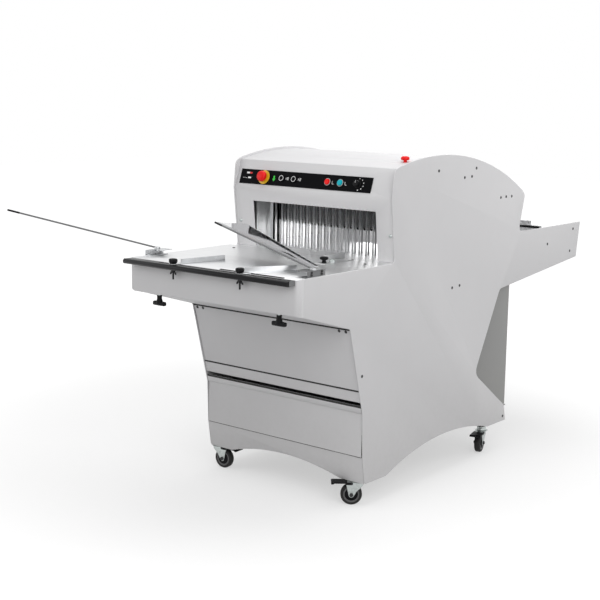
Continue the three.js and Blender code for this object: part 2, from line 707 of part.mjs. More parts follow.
function addBladeFrame(name, y, side) {
  const half = frameHalf;
  const foot = tableZ - frame.footDrop;
  const top = tableZ + frame.topRise;
  const outer = block(-half, half, y - frame.depth / 2, y + frame.depth / 2, foot, top);
  const window = block(-half + frame.barWidth, half - frame.barWidth, y - frame.depth, y + frame.depth,
    foot + frame.barHeight, top - frame.barHeight);
  const first = side < 0 ? 0 : 1;
  const middle = y + side * blade.setOut;
  const blades = [];
  for (let index = first; index < bladeCount; index += 2) {
    const x = bladeX(index);
    blades.push(block(x - blade.thickness / 2, x + blade.thickness / 2, middle - blade.depth / 2,
      middle + blade.depth / 2, foot + frame.barHeight / 2, top - frame.barHeight / 2));
  }
  const eyeFace = eccentric.x + rodEnd.width / 2;
  const lugFace = eyeFace + thinSheet;
  const lug = [side * lugFace, side * (lugFace + lugWidth)].sort((a, b) => a - b);
  const ear = block(lug[0], lug[1], y - frame.depth / 2, y + frame.depth / 2,
    pinZ - rodEnd.pinRadius - lugMargin, foot + frame.barHeight / 2);
  const studEnd = eccentric.x - rodEnd.width / 2 - thinSheet;
  const pin = [side * studEnd, side * (lugFace + lugWidth / 2)].sort((a, b) => a - b);
  const stud = rodX(rodEnd.pinRadius, pin[0], pin[1], y, pinZ, pinSides);
  addMesh(name, join(cut(outer, window), ...blades, ear, stud), 'stainless');
}

// An upright that the frames slide along, with a web to the side panel and a liner behind the outlet
function addBladeGuide(name, side) {
  const frontY = frame.frontY - frame.depth / 2;
  const rearY = frame.rearY + frame.depth / 2;
  const inner = frameHalf + gap;
  const foot = tableZ - frame.footDrop - 2 * frame.stroke;
  const top = tableZ + frame.topRise + 2 * frame.stroke;
  const span = (a, b) => (side < 0 ? [-b, -a] : [a, b]);
  const post = block(...span(inner, inner + 2 * frame.barWidth), frontY, rearY, foot, top);
  const middle = (frontY + rearY) / 2;
  const web = block(...span(inner, fitHalf), middle - sheet, middle + sheet, foot, top);
  const mouthEdge = (side < 0 ? -outletLeft : outletRight) + gap;
  const liner = block(...span(mouthEdge, inner + 2 * frame.barWidth), frontY - gap - sheet, frontY - gap,
    tableZ + gap, tableZ + outlet.rise + frame.barHeight);
  const wing = block(...span(mouthEdge, mouthEdge + thinSheet), fascia.footY + sheet, frontY - gap,
    tableZ + gap, tableZ + outlet.rise + frame.barHeight);
  const tie = block(...span(inner + frame.barWidth, inner + 2 * frame.barWidth), frontY - gap - sheet,
    frontY + sheet, tableZ + gap, tableZ + outlet.rise + frame.barHeight);
  addMesh(name, join(post, web, liner, wing, tie), 'stainless');
}

// Crank drive

function addCrankshaft() {
  const journal = rodX(shaft.radius, shaft.left, shaft.right, shaft.y, shaft.z);
  const discs = [-1, 1].map((side) => {
    const x = side * eccentric.x;
    return rodX(eccentric.radius, x - eccentric.width / 2, x + eccentric.width / 2,
      shaft.y - side * frame.stroke, shaft.z, fineSides);
  });
  const wheel = rodX(pulley.crankRadius, pulley.x, pulley.x + pulley.width, shaft.y, shaft.z, fineSides);
  addMesh('crankshaft', join(journal, ...discs, wheel), 'steel');
}

// A rod that stays upright: a round big end on its eccentric and a tall open eye round the frame's stud
function addConnectingRod(name, side) {
  const x0 = side * eccentric.x - rodEnd.width / 2;
  const x1 = side * eccentric.x + rodEnd.width / 2;
  const bigY = shaft.y - side * frame.stroke;
  const eyeY = (side < 0 ? frame.frontY : frame.rearY) - side * frame.stroke;
  const big = rodX(eccentric.radius + rodEnd.wall, x0, x1, bigY, shaft.z, fineSides);
  const bore = rodX(eccentric.radius + gap, x0 - overrun, x1 + overrun, bigY, shaft.z, fineSides);
  const eye = (margin, near, far) => prismX([
    [eyeY - eyeHalfY - margin, pinZ - eyeHalfZ - margin, eyeHalfY], [eyeY - eyeHalfY - margin,
      pinZ + eyeHalfZ + margin, eyeHalfY],
    [eyeY + eyeHalfY + margin, pinZ + eyeHalfZ + margin, eyeHalfY], [eyeY + eyeHalfY + margin,
      pinZ - eyeHalfZ - margin, eyeHalfY],
  ], near, far);
  const neck = prismX([
    [bigY - rodEnd.neck / 2, shaft.z], [eyeY - rodEnd.neck / 2, pinZ],
    [eyeY + rodEnd.neck / 2, pinZ], [bigY + rodEnd.neck / 2, shaft.z],
  ], x0, x1);
  const body = join(big, eye(rodEnd.eyeWall, x0, x1), neck);
  addMesh(name, cut(body, bore, eye(0, x0 - overrun, x1 + overrun)), 'steel');
}

function addMotor() {
  const z = shelf.z + gap + motor.height;
  const body = rodX(motor.radius, motor.left, motor.right, motor.y, z, fineSides);
  const foot = block(motor.left + motor.footWidth / 2, motor.right - motor.footWidth / 2,
    motor.y - motor.footWidth / 2, motor.y + motor.footWidth / 2, shelf.z + gap, z);
  const middle = (motor.left + motor.right) / 2;
  const box = block(middle - terminalBox.width / 2, middle + terminalBox.width / 2,
    motor.y - terminalBox.depth / 2, motor.y + terminalBox.depth / 2, z, z + motor.radius + terminalBox.rise);
  addMesh('motor', join(body, foot, box), 'motorGrey');
  const stub = rodX(motor.shaftRadius, motor.right + gap, pulley.x + pulley.width, motor.y, z, pinSides);
  const wheel = rodX(pulley.motorRadius, pulley.x, pulley.x + pulley.width, motor.y, z, roundSides);
  addMesh('motor_pulley', join(stub, wheel), 'steel');
}

// The outline of a belt round two pulleys, offset from their rims
function beltOutline(offset) {
  const z = shelf.z + gap + motor.height;
  const reach = Math.hypot(motor.y - shaft.y, z - shaft.z);
  const heading = Math.atan2(z - shaft.z, motor.y - shaft.y);
  const open = Math.acos((pulley.crankRadius - pulley.motorRadius) / reach);
  const arc = (y, centreZ, radius, from, to) => Array.from({ length: archSteps + 1 }, (_, step) => {
    const angle = from + (to - from) * step / archSteps;
    const reachOut = (radius + offset) / Math.cos((to - from) / archSteps / 2);
    return [y + reachOut * Math.cos(angle), centreZ + reachOut * Math.sin(angle)];
  });
  return [
    ...arc(shaft.y, shaft.z, pulley.crankRadius, heading + open, heading + 2 * Math.PI - open),
    ...arc(motor.y, z, pulley.motorRadius, heading - open, heading + open),
  ];
}

function addBelt() {
  const x0 = pulley.x + belt.margin;
  const x1 = pulley.x + pulley.width - belt.margin;
  const outer = prismX(beltOutline(belt.thickness + gap), x0, x1);
  const inner = prismX(beltOutline(gap), x0 - overrun, x1 + overrun);
  addMesh('drive_belt', cut(outer, inner), 'rubber');
}

function addDriveShelf() {
  const plate = block(-fitHalf, fitHalf, shelf.frontY, shelf.rearY, shelf.z - tray.thickness, shelf.z);
  const posts = [-1, 1].map((side) => {
    const x = side * bearing.x;
    return block(x - bearing.width / 2, x + bearing.width / 2, shaft.y - bearing.halfDepth,
      shaft.y + bearing.halfDepth, shelf.z - tray.thickness / 2, shaft.z + bearing.rise);
  });
  const bore = rodX(shaft.radius + gap, -bodyWidth / 2, bodyWidth / 2, shaft.y, shaft.z);
  addMesh('drive_shelf', cut(join(plate, ...posts), bore), 'steel');
}

// Casters. Each is drawn with its swivel axis on Z and its wheel trailing towards -X.

function casterWheel() {
  const half = caster.wheelWidth / 2;
  const rim = caster.wheelRadius - caster.tyre;
  const bore = caster.axleRadius + gap;
  const profile = [
    [bore, -half], [caster.hubRadius, -half], [rim, -half + caster.dish], [rim, -half],
    [caster.wheelRadius, -half + caster.dish], [caster.wheelRadius, half - caster.dish],
    [rim, half], [rim, half - caster.dish], [caster.hubRadius, half], [bore, half], [bore, -half],
  ];
  return turned(profile, roundSides).rotate([90, 0, 0]).translate([-caster.trail, 0, caster.wheelRadius]);
}

const legInner = caster.wheelWidth / 2 + caster.legGap;
const legOuter = legInner + caster.legThickness;

function casterFork() {
  const domeTop = caster.height - gap;
  const domeFoot = domeTop - caster.domeHeight;
  const dome = turned([
    [0, domeFoot], [caster.domeRadius, domeFoot], [caster.domeRadius, domeTop - caster.plate],
    [caster.domeRadius - caster.plate, domeTop], [0, domeTop],
  ], roundSides);
  const legs = [-1, 1].map((side) => {
    const y0 = side < 0 ? -legOuter : legInner;
    return prismY([
      [caster.domeRadius - caster.legHalf, domeFoot],
      [-caster.trail - caster.legHalf, domeFoot],
      [-caster.trail - caster.legHalf, caster.pivotZ - caster.legHalf / 2],
      [-caster.trail - caster.legHalf / 2, caster.wheelRadius - caster.axleRadius * 2, caster.legHalf / 2],
      [-caster.trail + caster.legHalf / 2, caster.wheelRadius - caster.axleRadius * 2, caster.legHalf / 2],
      [caster.domeRadius - caster.legHalf, caster.pivotZ - caster.legHalf],
    ], y0, y0 + caster.legThickness);
  });
  const crown = block(-caster.trail - caster.legHalf, caster.domeRadius - caster.legHalf, -legOuter, legOuter,
    domeFoot - caster.plate, domeFoot);
  const axle = rodY(caster.axleRadius, -legOuter - gap, legOuter + gap, -caster.trail, caster.wheelRadius,
    pinSides);
  const pivot = rodY(caster.pivotRadius, -legOuter - caster.pivotOut, legOuter + caster.pivotOut,
    -caster.trail, caster.pivotZ, pinSides);
  return join(dome, ...legs, crown, axle, pivot);
}

// A brake pedal: two ears on the fork's cross pin and a tread that reaches past the wheel, with a lip
function casterPedal() {
  const inner = legOuter + gap;
  const outer = inner + caster.legThickness - gap;
  const rootX = -caster.trail - caster.legHalf - 3 * gap;
  const tipX = rootX - caster.pedalLength;
  const top = caster.pivotZ + caster.earHalf;
  const ears = [-1, 1].map((side) => {
    const y0 = side < 0 ? -outer : inner;
    return prismY([
      [-caster.trail + caster.earHalf, caster.pivotZ - caster.earHalf, caster.earHalf],
      [-caster.trail + caster.earHalf, top, caster.earHalf],
      [rootX - caster.earHalf, top], [rootX - caster.earHalf, caster.pivotZ - caster.earHalf],
    ], y0, y0 + outer - inner);
  });
  const tread = prismY([
    [rootX, top], [tipX, top, caster.earHalf], [tipX, top - caster.pedalTip],
    [tipX + caster.pedalThickness, top - caster.pedalTip],
    [tipX + caster.pedalTip, top - caster.pedalThickness], [rootX, top - caster.pedalThickness],
  ], -outer - caster.pedalOver, outer + caster.pedalOver);
  const bore = rodY(caster.pivotRadius + gap, -outer - overrun, outer + overrun, -caster.trail,
    caster.pivotZ, pinSides);
  return cut(join(...ears, tread), bore);
}

function addCaster(place, { x, y, heading }) {
  const group = new THREE.Group();
  group.position.set(x, y, 0);
  group.rotation.z = THREE.MathUtils.degToRad(heading);
  object.add(group);
  addMesh(`caster_fork_${place}`, casterFork(), 'zinc', group);
  addMesh(`caster_wheel_${place}`, casterWheel(), 'rubber', group);
  addMesh(`brake_pedal_${place}`, casterPedal(), 'blackPlastic', group);
}

// Controls, drawn in the slope's own frame: -Y is outward and Z climbs the slope

function onSlope(x, y0, y1, radius, sides = roundSides) {
  return rodY(radius, y0, y1, x, controlRise, sides);
}

const stripFace = -gap - strip.thickness;

function addControlStrip() {
  const plate = block(stripLeft, stripRight, stripFace, -gap, strip.foot, strip.top);
  const rings = [
    onSlope(spots.stop, stripFace - stop.ringHeight, -gap, stop.ringRadius),
    ...[spots.red, spots.teal].map((x) => onSlope(x, stripFace - button.ringHeight, -gap,
      button.ringRadius)),
  ];
  const bores = [
    onSlope(spots.stop, -overrun, overrun, stop.stemRadius + gap),
    ...[spots.red, spots.teal].map((x) => onSlope(x, -overrun, overrun, button.radius + gap)),
    ...[spots.keyLeft, spots.keyRight].map((x) => onSlope(x, -overrun, overrun, key.stemRadius + gap)),
    onSlope(spots.dial, -overrun, overrun, dial.stemRadius + gap),
  ];
  addMesh('control_strip', ontoSlope(cut(join(plate, ...rings), ...bores)), 'panelBlack');
}

function addStopButton() {
  const seat = stripFace - stop.ringHeight - stop.lift;
  const cap = turned([
    [0, -seat], [stop.capRadius * stopRadiusShares.foot, -seat],
    [stop.capRadius, -seat + stop.capHeight * stopHeightShares.foot],
    [stop.capRadius * stopRadiusShares.shoulder, -seat + stop.capHeight * stopHeightShares.shoulder],
    [stop.capRadius * stopRadiusShares.top, -seat + stop.capHeight], [0, -seat + stop.capHeight],
  ], fineSides).rotate([90, 0, 0]).translate([spots.stop, 0, controlRise]);
  const stem = onSlope(spots.stop, seat, overrun, stop.stemRadius, pinSides);
  addMesh('stop_button', ontoSlope(join(cap, stem)), 'red');
}

function addPushButton(name, x, finish) {
  addMesh(name, ontoSlope(onSlope(x, stripFace - button.proud, button.depth, button.radius)), finish);
}

function addKeySwitch(name, x) {
  const face = stripFace - gap;
  const body = onSlope(x, face - key.proud, face, key.radius);
  const wing = block(x - key.wing / 2, x + key.wing / 2, face - key.proud - key.wingProud, face,
    controlRise - key.radius / 2, controlRise + key.radius / 2);
  const stem = onSlope(x, face, overrun, key.stemRadius, pinSides);
  addMesh(name, ontoSlope(join(body, wing, stem)), 'blackPlastic');
}

function addDial() {
  const face = stripFace - gap;
  const skirt = onSlope(spots.dial, face - dial.skirt, face, dial.radius);
  const grip = onSlope(spots.dial, face - dial.proud, face, dial.radius - dial.skirt);
  const pointer = block(spots.dial - dial.pointer / 2, spots.dial + dial.pointer / 2, face - dial.proud, face,
    controlRise, controlRise + dial.radius);
  const stem = onSlope(spots.dial, face, overrun, dial.stemRadius, pinSides);
  addMesh('speed_dial', ontoSlope(join(skirt, grip, pointer, stem)), 'blackPlastic');
}

function addRoofStop() {
  const roof = roofHeight(roofStop.y);
  const seat = roof + roofStop.lift;
  const top = seat + roofStop.height;
  const cap = turned([
    [0, seat], [roofStop.radius * roofStopRadiusShares.foot, seat],
    [roofStop.radius, seat + roofStop.height * roofStopFootShare],
    [roofStop.radius * roofStopRadiusShares.top, top], [0, top],
  ]);
  const stem = rodZ(roofStop.stemRadius, 0, 0, roof - roofSheet - roofStop.seat, seat, pinSides);
  addMesh('roof_stop_button', join(cap, stem).translate([roofStopX, roofStop.y, 0]), 'red');
}

function addPusher() {
  const half = fitHalf - gap;
  const z0 = tableZ + gap;
  const plate = block(-half, half, pusher.y, pusher.y + pusher.thickness, z0, z0 + pusher.rise);
  const foot = block(-half, half, pusher.y, pusher.y + pusher.foot, z0, z0 + sheet);
  const middle = pusher.y + pusher.thickness / 2;
  const gripHalf = fitHalf - pusher.gripInset;
  const grip = block(-gripHalf, gripHalf, middle - pusher.gripDepth / 2,
    middle + pusher.gripDepth / 2, z0 + pusher.rise, z0 + pusher.rise + pusher.gripHeight);
  addMesh('pusher', join(plate, foot, grip), 'stainless');
}

// Paddle brackets and paddles, drawn about the paddle's pin. The left bracket's wall faces -X, and the right
// bracket is the same piece turned about. A paddle reaches along +X and is then tilted and turned.

function addPaddleBracket(name, spot, turn) {
  const z0 = tableZ + gap;
  const top = z0 + bracket.height;
  const wallX = -bracket.axisInset;
  const wall = block(wallX, wallX + sheet, -bracket.farEnd, bracket.nearEnd, z0, top);
  const foot = block(wallX, bracket.seat, -bracket.farEnd, bracket.nearEnd, z0, z0 + thinSheet);
  const flange = block(wallX, bracket.flangeReach, -bracket.flangeFar, bracket.nearEnd, top - thinSheet, top);
  const bore = rodZ(paddle.pinRadius + gap, 0, 0, top - overrun, top + overrun, pinSides);
  const body = cut(join(wall, foot, flange), bore).rotate([0, 0, turn]).translate([spot.x, spot.y, 0]);
  addMesh(name, body, 'stainless');
}

function addPaddle(name, spot) {
  const seat = tableZ + gap + bracket.height + gap;
  const pin = rodZ(paddle.pinRadius, 0, 0, -paddle.pinDrop, paddle.hubHeight / 2, pinSides);
  const hub = rodZ(paddle.hubRadius, 0, 0, 0, paddle.hubHeight);
  const rod = rodX(paddle.rodRadius, 0, paddle.length + paddle.rodOver, 0, 0, pinSides);
  const blade = prismZ([
    [paddle.sheetStart, -paddle.rootWidth, paddle.rootRound], [paddle.length, -paddle.tipWidth, paddle.tipRound],
    [paddle.length, 0], [paddle.sheetStart, 0],
  ], -paddle.thickness / 2, paddle.thickness / 2);
  const arm = join(rod, blade).rotate([spot.roll, 0, 0]).rotate([0, -spot.pitch, 0])
    .translate([0, 0, paddle.hubHeight / 2]);
  const body = join(pin, hub, arm).rotate([0, 0, spot.heading]).translate([spot.x, spot.y, seat]);
  addMesh(name, body, 'stainless');
}

// Table guides, their clamps and the outlet guide

function addGuide(name, { x, heading, side }) {
  const z0 = tableZ + gap;
  const flat = prismZ([
    [-guide.tail, -guide.width / 2, guide.tail], [guide.length, -guide.width / 2],
    [guide.length, guide.width / 2], [-guide.tail, guide.width / 2, guide.tail],
  ], z0, z0 + guide.thickness);
  const clear = clamp.knobRadius + overrun;
  const edge = side * guide.width / 2;
  const within = side * (guide.width / 2 - guide.thickness);
  const fence = block(clear, guide.length, Math.min(edge, within), Math.max(edge, within), z0,
    z0 + guide.rise);
  const bore = rodZ(clamp.boltRadius + gap, 0, 0, z0 - overrun, z0 + overrun, pinSides);
  const body = cut(join(flat, fence), bore).rotate([0, 0, heading]).translate([x, slotY, 0]);
  addMesh(name, body, 'stainless');
}

function addClamp(name, { x }) {
  const knobFoot = tableZ + 2 * gap + guide.thickness;
  const lipFoot = tableZ - lip.thickness - gap;
  const knob = turned([
    [0, knobFoot], [clamp.knobRadius * clampRadiusShares.foot, knobFoot],
    [clamp.knobRadius, knobFoot + clamp.knobHeight * clampHeightShares.belly],
    [clamp.knobRadius, knobFoot + clamp.knobHeight * clampHeightShares.shoulder],
    [clamp.knobRadius * clampRadiusShares.top, knobFoot + clamp.knobHeight], [0, knobFoot + clamp.knobHeight],
  ], pinSides);
  const bolt = rodZ(clamp.boltRadius, 0, 0, tableZ - clamp.drop, knobFoot + overrun, pinSides);
  const nut = rodZ(clampWing.nutRadius, 0, 0, lipFoot - clampWing.height / 2, lipFoot, pinSides);
  const wings = block(-clampWing.span / 2, clampWing.span / 2, -clampWing.thickness / 2,
    clampWing.thickness / 2, lipFoot - 2 * clampWing.height, lipFoot - clampWing.height / 2);
  addMesh(name, join(knob, bolt, nut, wings).translate([x, slotY, 0]), 'blackPlastic');
}

function addOutletGuide() {
  const z0 = tableZ + gap;
  const { frontY, rearY, width, rise, thickness } = outletGuide;
  const right = outletRight - outletGuide.inset;
  const left = right - width;
  const knobX = right - outletKnob.inset;
  const knobY = frontY + outletKnob.setback;
  const fenceY = knobY + outletKnob.radius + overrun;
  const flat = block(left, right, frontY, rearY, z0, z0 + thickness);
  const fence = block(left, left + thickness, fenceY, rearY, z0, z0 + rise);
  const stemTop = z0 + outletKnob.stemHeight;
  const stem = rodZ(outletKnob.stemRadius, knobX, knobY, z0, stemTop, pinSides);
  const knob = rodZ(outletKnob.radius, knobX, knobY, stemTop, stemTop + outletKnob.height);
  addMesh('outlet_guide', join(flat, fence, stem, knob), 'stainless');
}

function addTeeKnob(name, x) {
  const under = underLine(apronY + tee.setback) - gap;
  const foot = apronFoot - tee.drop;
  const neck = turned([
    [0, foot + tee.bar / 2], [tee.flare, foot + tee.bar / 2], [tee.neck, (foot + under) / 2],
    [tee.neck, under - tee.boltRadius], [0, under - tee.boltRadius],
  ], pinSides);
  const bolt = rodZ(tee.boltRadius, 0, 0, foot + tee.bar, apronFoot + tee.setback, pinSides);
  const half = tee.barLength / 2;
  const bar = prismY([
    [-half, foot, tee.bar / 2], [half, foot, tee.bar / 2], [half, foot + tee.bar, tee.bar / 2],
    [-half, foot + tee.bar, tee.bar / 2],
  ], -tee.barDepth / 2, tee.barDepth / 2);
  addMesh(name, join(neck, bolt, bar).translate([x, apronY + tee.setback, 0]), 'blackPlastic');
}

addSidePanels();
addFascia();
addRoof();
addPassageHood();
addApron();
addFrontTable();
addLipRail();
addCombPlate();
addInfeedBed();
addInfeedShell();
addRearEnclosure();
addBaseFront();
addChassis();
addCrossRail();
addDoor();
addDrawer();
addBladeFrame('blade_frame_front', frame.frontY, -1);
addBladeFrame('blade_frame_rear', frame.rearY, 1);
addBladeGuide('blade_guide_left', -1);
addBladeGuide('blade_guide_right', 1);
addCrankshaft();
addConnectingRod('connecting_rod_front', -1);
addConnectingRod('connecting_rod_rear', 1);
addMotor();
addBelt();
addDriveShelf();
Object.entries(casters).forEach(([place, spot]) => addCaster(place, spot));
addControlStrip();
addStopButton();
addPushButton('red_button', spots.red, 'red');
addPushButton('teal_button', spots.teal, 'teal');
addKeySwitch('key_switch_left', spots.keyLeft);
addKeySwitch('key_switch_right', spots.keyRight);
addDial();
addRoofStop();
addPusher();
addPaddleBracket('paddle_bracket_left', paddles.left, 0);
addPaddleBracket('paddle_bracket_right', paddles.right, turnAbout);
addPaddle('paddle_left', paddles.left);
addPaddle('paddle_right', paddles.right);
addGuide('table_guide_left', guides.left);
addGuide('table_guide_right', guides.right);
addClamp('guide_clamp_left', guides.left);
addClamp('guide_clamp_right', guides.right);
addOutletGuide();
addTeeKnob('tee_knob_left', -teeX);
addTeeKnob('tee_knob_right', teeX);

// The origin goes to the middle of the footprint at floor level
const bounds = new THREE.Box3().setFromObject(object, true);
const middle = bounds.getCenter(new THREE.Vector3());
object.position.set(-middle.x, -middle.y, -bounds.min.z);
object.updateMatrixWorld(true);

export default object;
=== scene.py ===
"""Looks of a floor standing bread slicer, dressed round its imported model.

Lengths in the sub-assembly classes are millimetres in the body's own frame: X from the body's middle, Y from
the middle line of its side panels and Z from the floor. The datum turns them into the model's metres.
"""

from __future__ import annotations

import sys

import logging
import math
from collections.abc import Sequence
from dataclasses import dataclass
from enum import Enum
from functools import lru_cache

import bmesh
import bpy
import numpy as np
from mathutils import Matrix, Vector

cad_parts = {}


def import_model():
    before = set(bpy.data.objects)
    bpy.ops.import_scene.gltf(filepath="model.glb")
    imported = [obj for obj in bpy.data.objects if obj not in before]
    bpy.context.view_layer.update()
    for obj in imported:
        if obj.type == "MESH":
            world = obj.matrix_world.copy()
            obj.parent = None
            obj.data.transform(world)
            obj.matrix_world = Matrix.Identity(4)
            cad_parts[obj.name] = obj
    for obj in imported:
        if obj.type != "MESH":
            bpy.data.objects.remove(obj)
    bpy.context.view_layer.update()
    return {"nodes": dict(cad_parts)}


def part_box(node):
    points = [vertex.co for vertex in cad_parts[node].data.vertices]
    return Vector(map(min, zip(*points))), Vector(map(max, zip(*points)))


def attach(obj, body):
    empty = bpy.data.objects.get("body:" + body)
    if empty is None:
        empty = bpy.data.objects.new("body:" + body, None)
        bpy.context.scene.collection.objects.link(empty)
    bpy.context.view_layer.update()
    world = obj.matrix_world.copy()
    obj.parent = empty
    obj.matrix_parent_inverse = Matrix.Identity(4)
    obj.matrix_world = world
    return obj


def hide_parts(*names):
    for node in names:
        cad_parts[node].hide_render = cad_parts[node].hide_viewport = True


LOG = logging.getLogger("bread_slicer")
MM = 0.001
SIDES = (("left", -1), ("right", 1))
Pair = tuple[float, float]
Triple = tuple[float, float, float]
Outline = Sequence[Sequence[float]]
Block = tuple[Pair, Pair, Pair]
Bars = tuple[tuple[float, float, float, float], ...]


# Shapes worked out as arrays


@dataclass
class Shape:
    """A surface as an array of points in millimetres and a list of faces."""

    points: np.ndarray
    faces: list[tuple[int, ...]]

    @classmethod
    def joined(cls, shapes: Sequence[Shape]) -> Shape:
        """Puts several shapes into one.

        Args:
            shapes: The shapes, each in the same frame.

        Returns:
            One shape that holds them all, each as its own shell.
        """
        faces: list[tuple[int, ...]] = []
        offset = 0
        for shape in shapes:
            faces += [tuple(corner + offset for corner in face) for face in shape.faces]
            offset += len(shape.points)
        return cls(np.concatenate([shape.points for shape in shapes]), faces)

    def placed(
        self,
        origin: Triple = (0, 0, 0),
        x: Triple = (1, 0, 0),
        y: Triple = (0, 1, 0),
        z: Triple = (0, 0, 1),
    ) -> Shape:
        """Moves the shape into another frame: point = origin + u x + v y + w z.

        Args:
            origin: Where the shape's own origin goes.
            x: Direction that the shape's X axis takes.
            y: Direction that its Y axis takes.
            z: Direction that its Z axis takes.

        Returns:
            The moved shape.
        """
        basis = np.array([x, y, z], float)
        return Shape(self.points @ basis + np.array(origin, float), self.faces)

    def turned(self, axis: str, degrees: float) -> Shape:
        """Turns the shape about an axis through its origin, by the right-hand rule.

        Args:
            axis: "X", "Y" or "Z".
            degrees: The angle.

        Returns:
            The turned shape.
        """
        spin = np.array(Matrix.Rotation(math.radians(degrees), 3, axis))
        return Shape(self.points @ spin.T, self.faces)

    def moved(self, x: float, y: float, z: float = 0.0) -> Shape:
        """Shifts the shape by a vector."""
        return Shape(self.points + np.array([x, y, z], float), self.faces)


def grid(points: np.ndarray, wrap_rows: bool = False, wrap_columns: bool = False) -> Shape:
    """Covers a grid of points with four-sided faces, each between two rows and two columns.

    Args:
        points: Array of (rows, columns, 3).
        wrap_rows: Whether the last row meets the first.
        wrap_columns: Whether the last column meets the first.

    Returns:
        The surface.
    """
    rows, columns = points.shape[:2]
    row = np.arange(rows if wrap_rows else rows - 1)
    column = np.arange(columns if wrap_columns else columns - 1)
    i, j = np.meshgrid(row, column, indexing="ij")
    after_i, after_j = (i + 1) % rows, (j + 1) % columns
    corners = [i * columns + j, i * columns + after_j, after_i * columns + after_j, after_i * columns + j]
    quads = np.stack(corners, axis=-1).reshape(-1, 4)
    return Shape(points.reshape(-1, 3), [tuple(quad) for quad in quads.tolist()])


def capped(rings: np.ndarray) -> Shape:
    """Skins a stack of rings, an array of (rings, points, 3), and closes both ends.

    Args:
        rings: The stack, with every ring running the same way round.

    Returns:
        The closed skin.
    """
    shape = grid(rings, wrap_columns=True)
    count = rings.shape[1]
    last = len(shape.points) - count
    caps = [tuple(range(count - 1, -1, -1)), tuple(range(last, last + count))]
    return Shape(shape.points, shape.faces + caps)


def lathe(profile: Outline, sides: int = 48, lobes: int = 0, lobe_share: float = 0.0) -> Shape:
    """Turns a profile about Z: (r cos a, r sin a, z), where r swells and shrinks by a share of itself round
    the turn as the cosine of the number of lobes times the angle.

    Args:
        profile: Points (radius, height). It starts and ends on the axis, or closes on itself.
        sides: Steps round the turn.
        lobes: Waves round the turn.
        lobe_share: How much of its radius a wave adds and takes away.

    Returns:
        The turned surface.
    """
    line = np.array(profile, float)
    closed = line[0, 0] > 0 or line[-1, 0] > 0
    angle = np.linspace(0, 2 * np.pi, sides, endpoint=False)
    swell = 1 + lobe_share * np.cos(lobes * angle)
    radius = line[:, :1] * swell[None, :]
    height = np.repeat(line[:, 1:], sides, axis=1)
    points = np.stack([radius * np.cos(angle), radius * np.sin(angle), height], axis=-1)
    return grid(points, wrap_rows=closed, wrap_columns=True)


def rod(radius: float, low: float, high: float, sides: int = 20) -> Shape:
    """A plain round bar along Z."""
    return lathe([(0, low), (radius, low), (radius, high), (0, high)], sides)


def rounded(corners: Outline, steps: int = 5) -> np.ndarray:
    """Rounds the corners of an outline: each corner becomes a curve (1-t)^2 start + 2t(1-t) corner + t^2 end.

    Args:
        corners: Points (u, v) or (u, v, radius) in order round the outline.
        steps: Segments in each round.

    Returns:
        The outline as an array (n, 2), counter-clockwise.
    """
    longest_share = 0.49
    data = np.array([(*corner, 0.0)[:3] for corner in corners], float)
    here = data[:, :2]
    before, after = np.roll(here, 1, axis=0) - here, np.roll(here, -1, axis=0) - here
    reach_before, reach_after = np.linalg.norm(before, axis=1), np.linalg.norm(after, axis=1)
    opening = np.arccos(np.clip((before * after).sum(1) / (reach_before * reach_after), -1, 1))
    longest = longest_share * np.minimum(reach_before, reach_after)
    tangent = np.minimum(data[:, 2] * np.tan((np.pi - opening) / 2), longest)
    start = here + before / reach_before[:, None] * tangent[:, None]
    end = here + after / reach_after[:, None] * tangent[:, None]
    t = np.linspace(0, 1, steps + 1)[None, :, None]
    curve = (1 - t) ** 2 * start[:, None] + 2 * t * (1 - t) * here[:, None] + t**2 * end[:, None]
    flat = curve.reshape(-1, 2)
    flat = flat[np.linalg.norm(flat - np.roll(flat, 1, axis=0), axis=1) > 1e-6]
    following = np.roll(flat, -1, axis=0)
    area = (flat[:, 0] * following[:, 1] - following[:, 0] * flat[:, 1]).sum()
    return flat if area > 0 else flat[::-1]


def inset(outline: np.ndarray, by: float, least: float = 0.2) -> np.ndarray:
    """Draws an outline inward: each point goes along the mitre of its two edges' inward normals.

    Args:
        outline: Points (n, 2), counter-clockwise.
        by: How far its edges go in.
        least: Lower limit of the mitre's squared length, which keeps sharp corners from shooting off.

    Returns:
        The smaller outline.
    """
    edge = np.roll(outline, -1, axis=0) - outline
    edge /= np.linalg.norm(edge, axis=1, keepdims=True)
    inward = np.stack([-edge[:, 1], edge[:, 0]], axis=1)
    mitre = inward + np.roll(inward, 1, axis=0)
    mitre /= np.maximum((mitre * mitre).sum(1, keepdims=True), least) / 2
    return outline + mitre * by


def slab(outline: np.ndarray, low: float, high: float, edge: float = 0.0, steps: int = 3) -> Shape:
    """Stands an outline up along Z with quarter round rims: the ring at angle a is drawn in by
    edge (1 - sin a) and lies edge (1 - cos a) from the face.

    Args:
        outline: Points (n, 2), counter-clockwise.
        low: Height of the lower face.
        high: Height of the upper face.
        edge: Radius of the rims.
        steps: Segments across a rim.

    Returns:
        The closed slab.
    """
    angles = np.linspace(0, np.pi / 2, steps + 1) if edge > 0 else np.array([np.pi / 2])
    draws = edge * (1 - np.sin(angles))
    rises = edge * (1 - np.cos(angles))
    levels = [(draw, low + rise) for draw, rise in zip(draws, rises)]
    levels += [(draw, high - rise) for draw, rise in zip(draws[::-1], rises[::-1])]
    count = len(outline)
    rings = [np.column_stack([inset(outline, draw), np.full(count, z)]) for draw, z in levels]
    return capped(np.stack(rings))


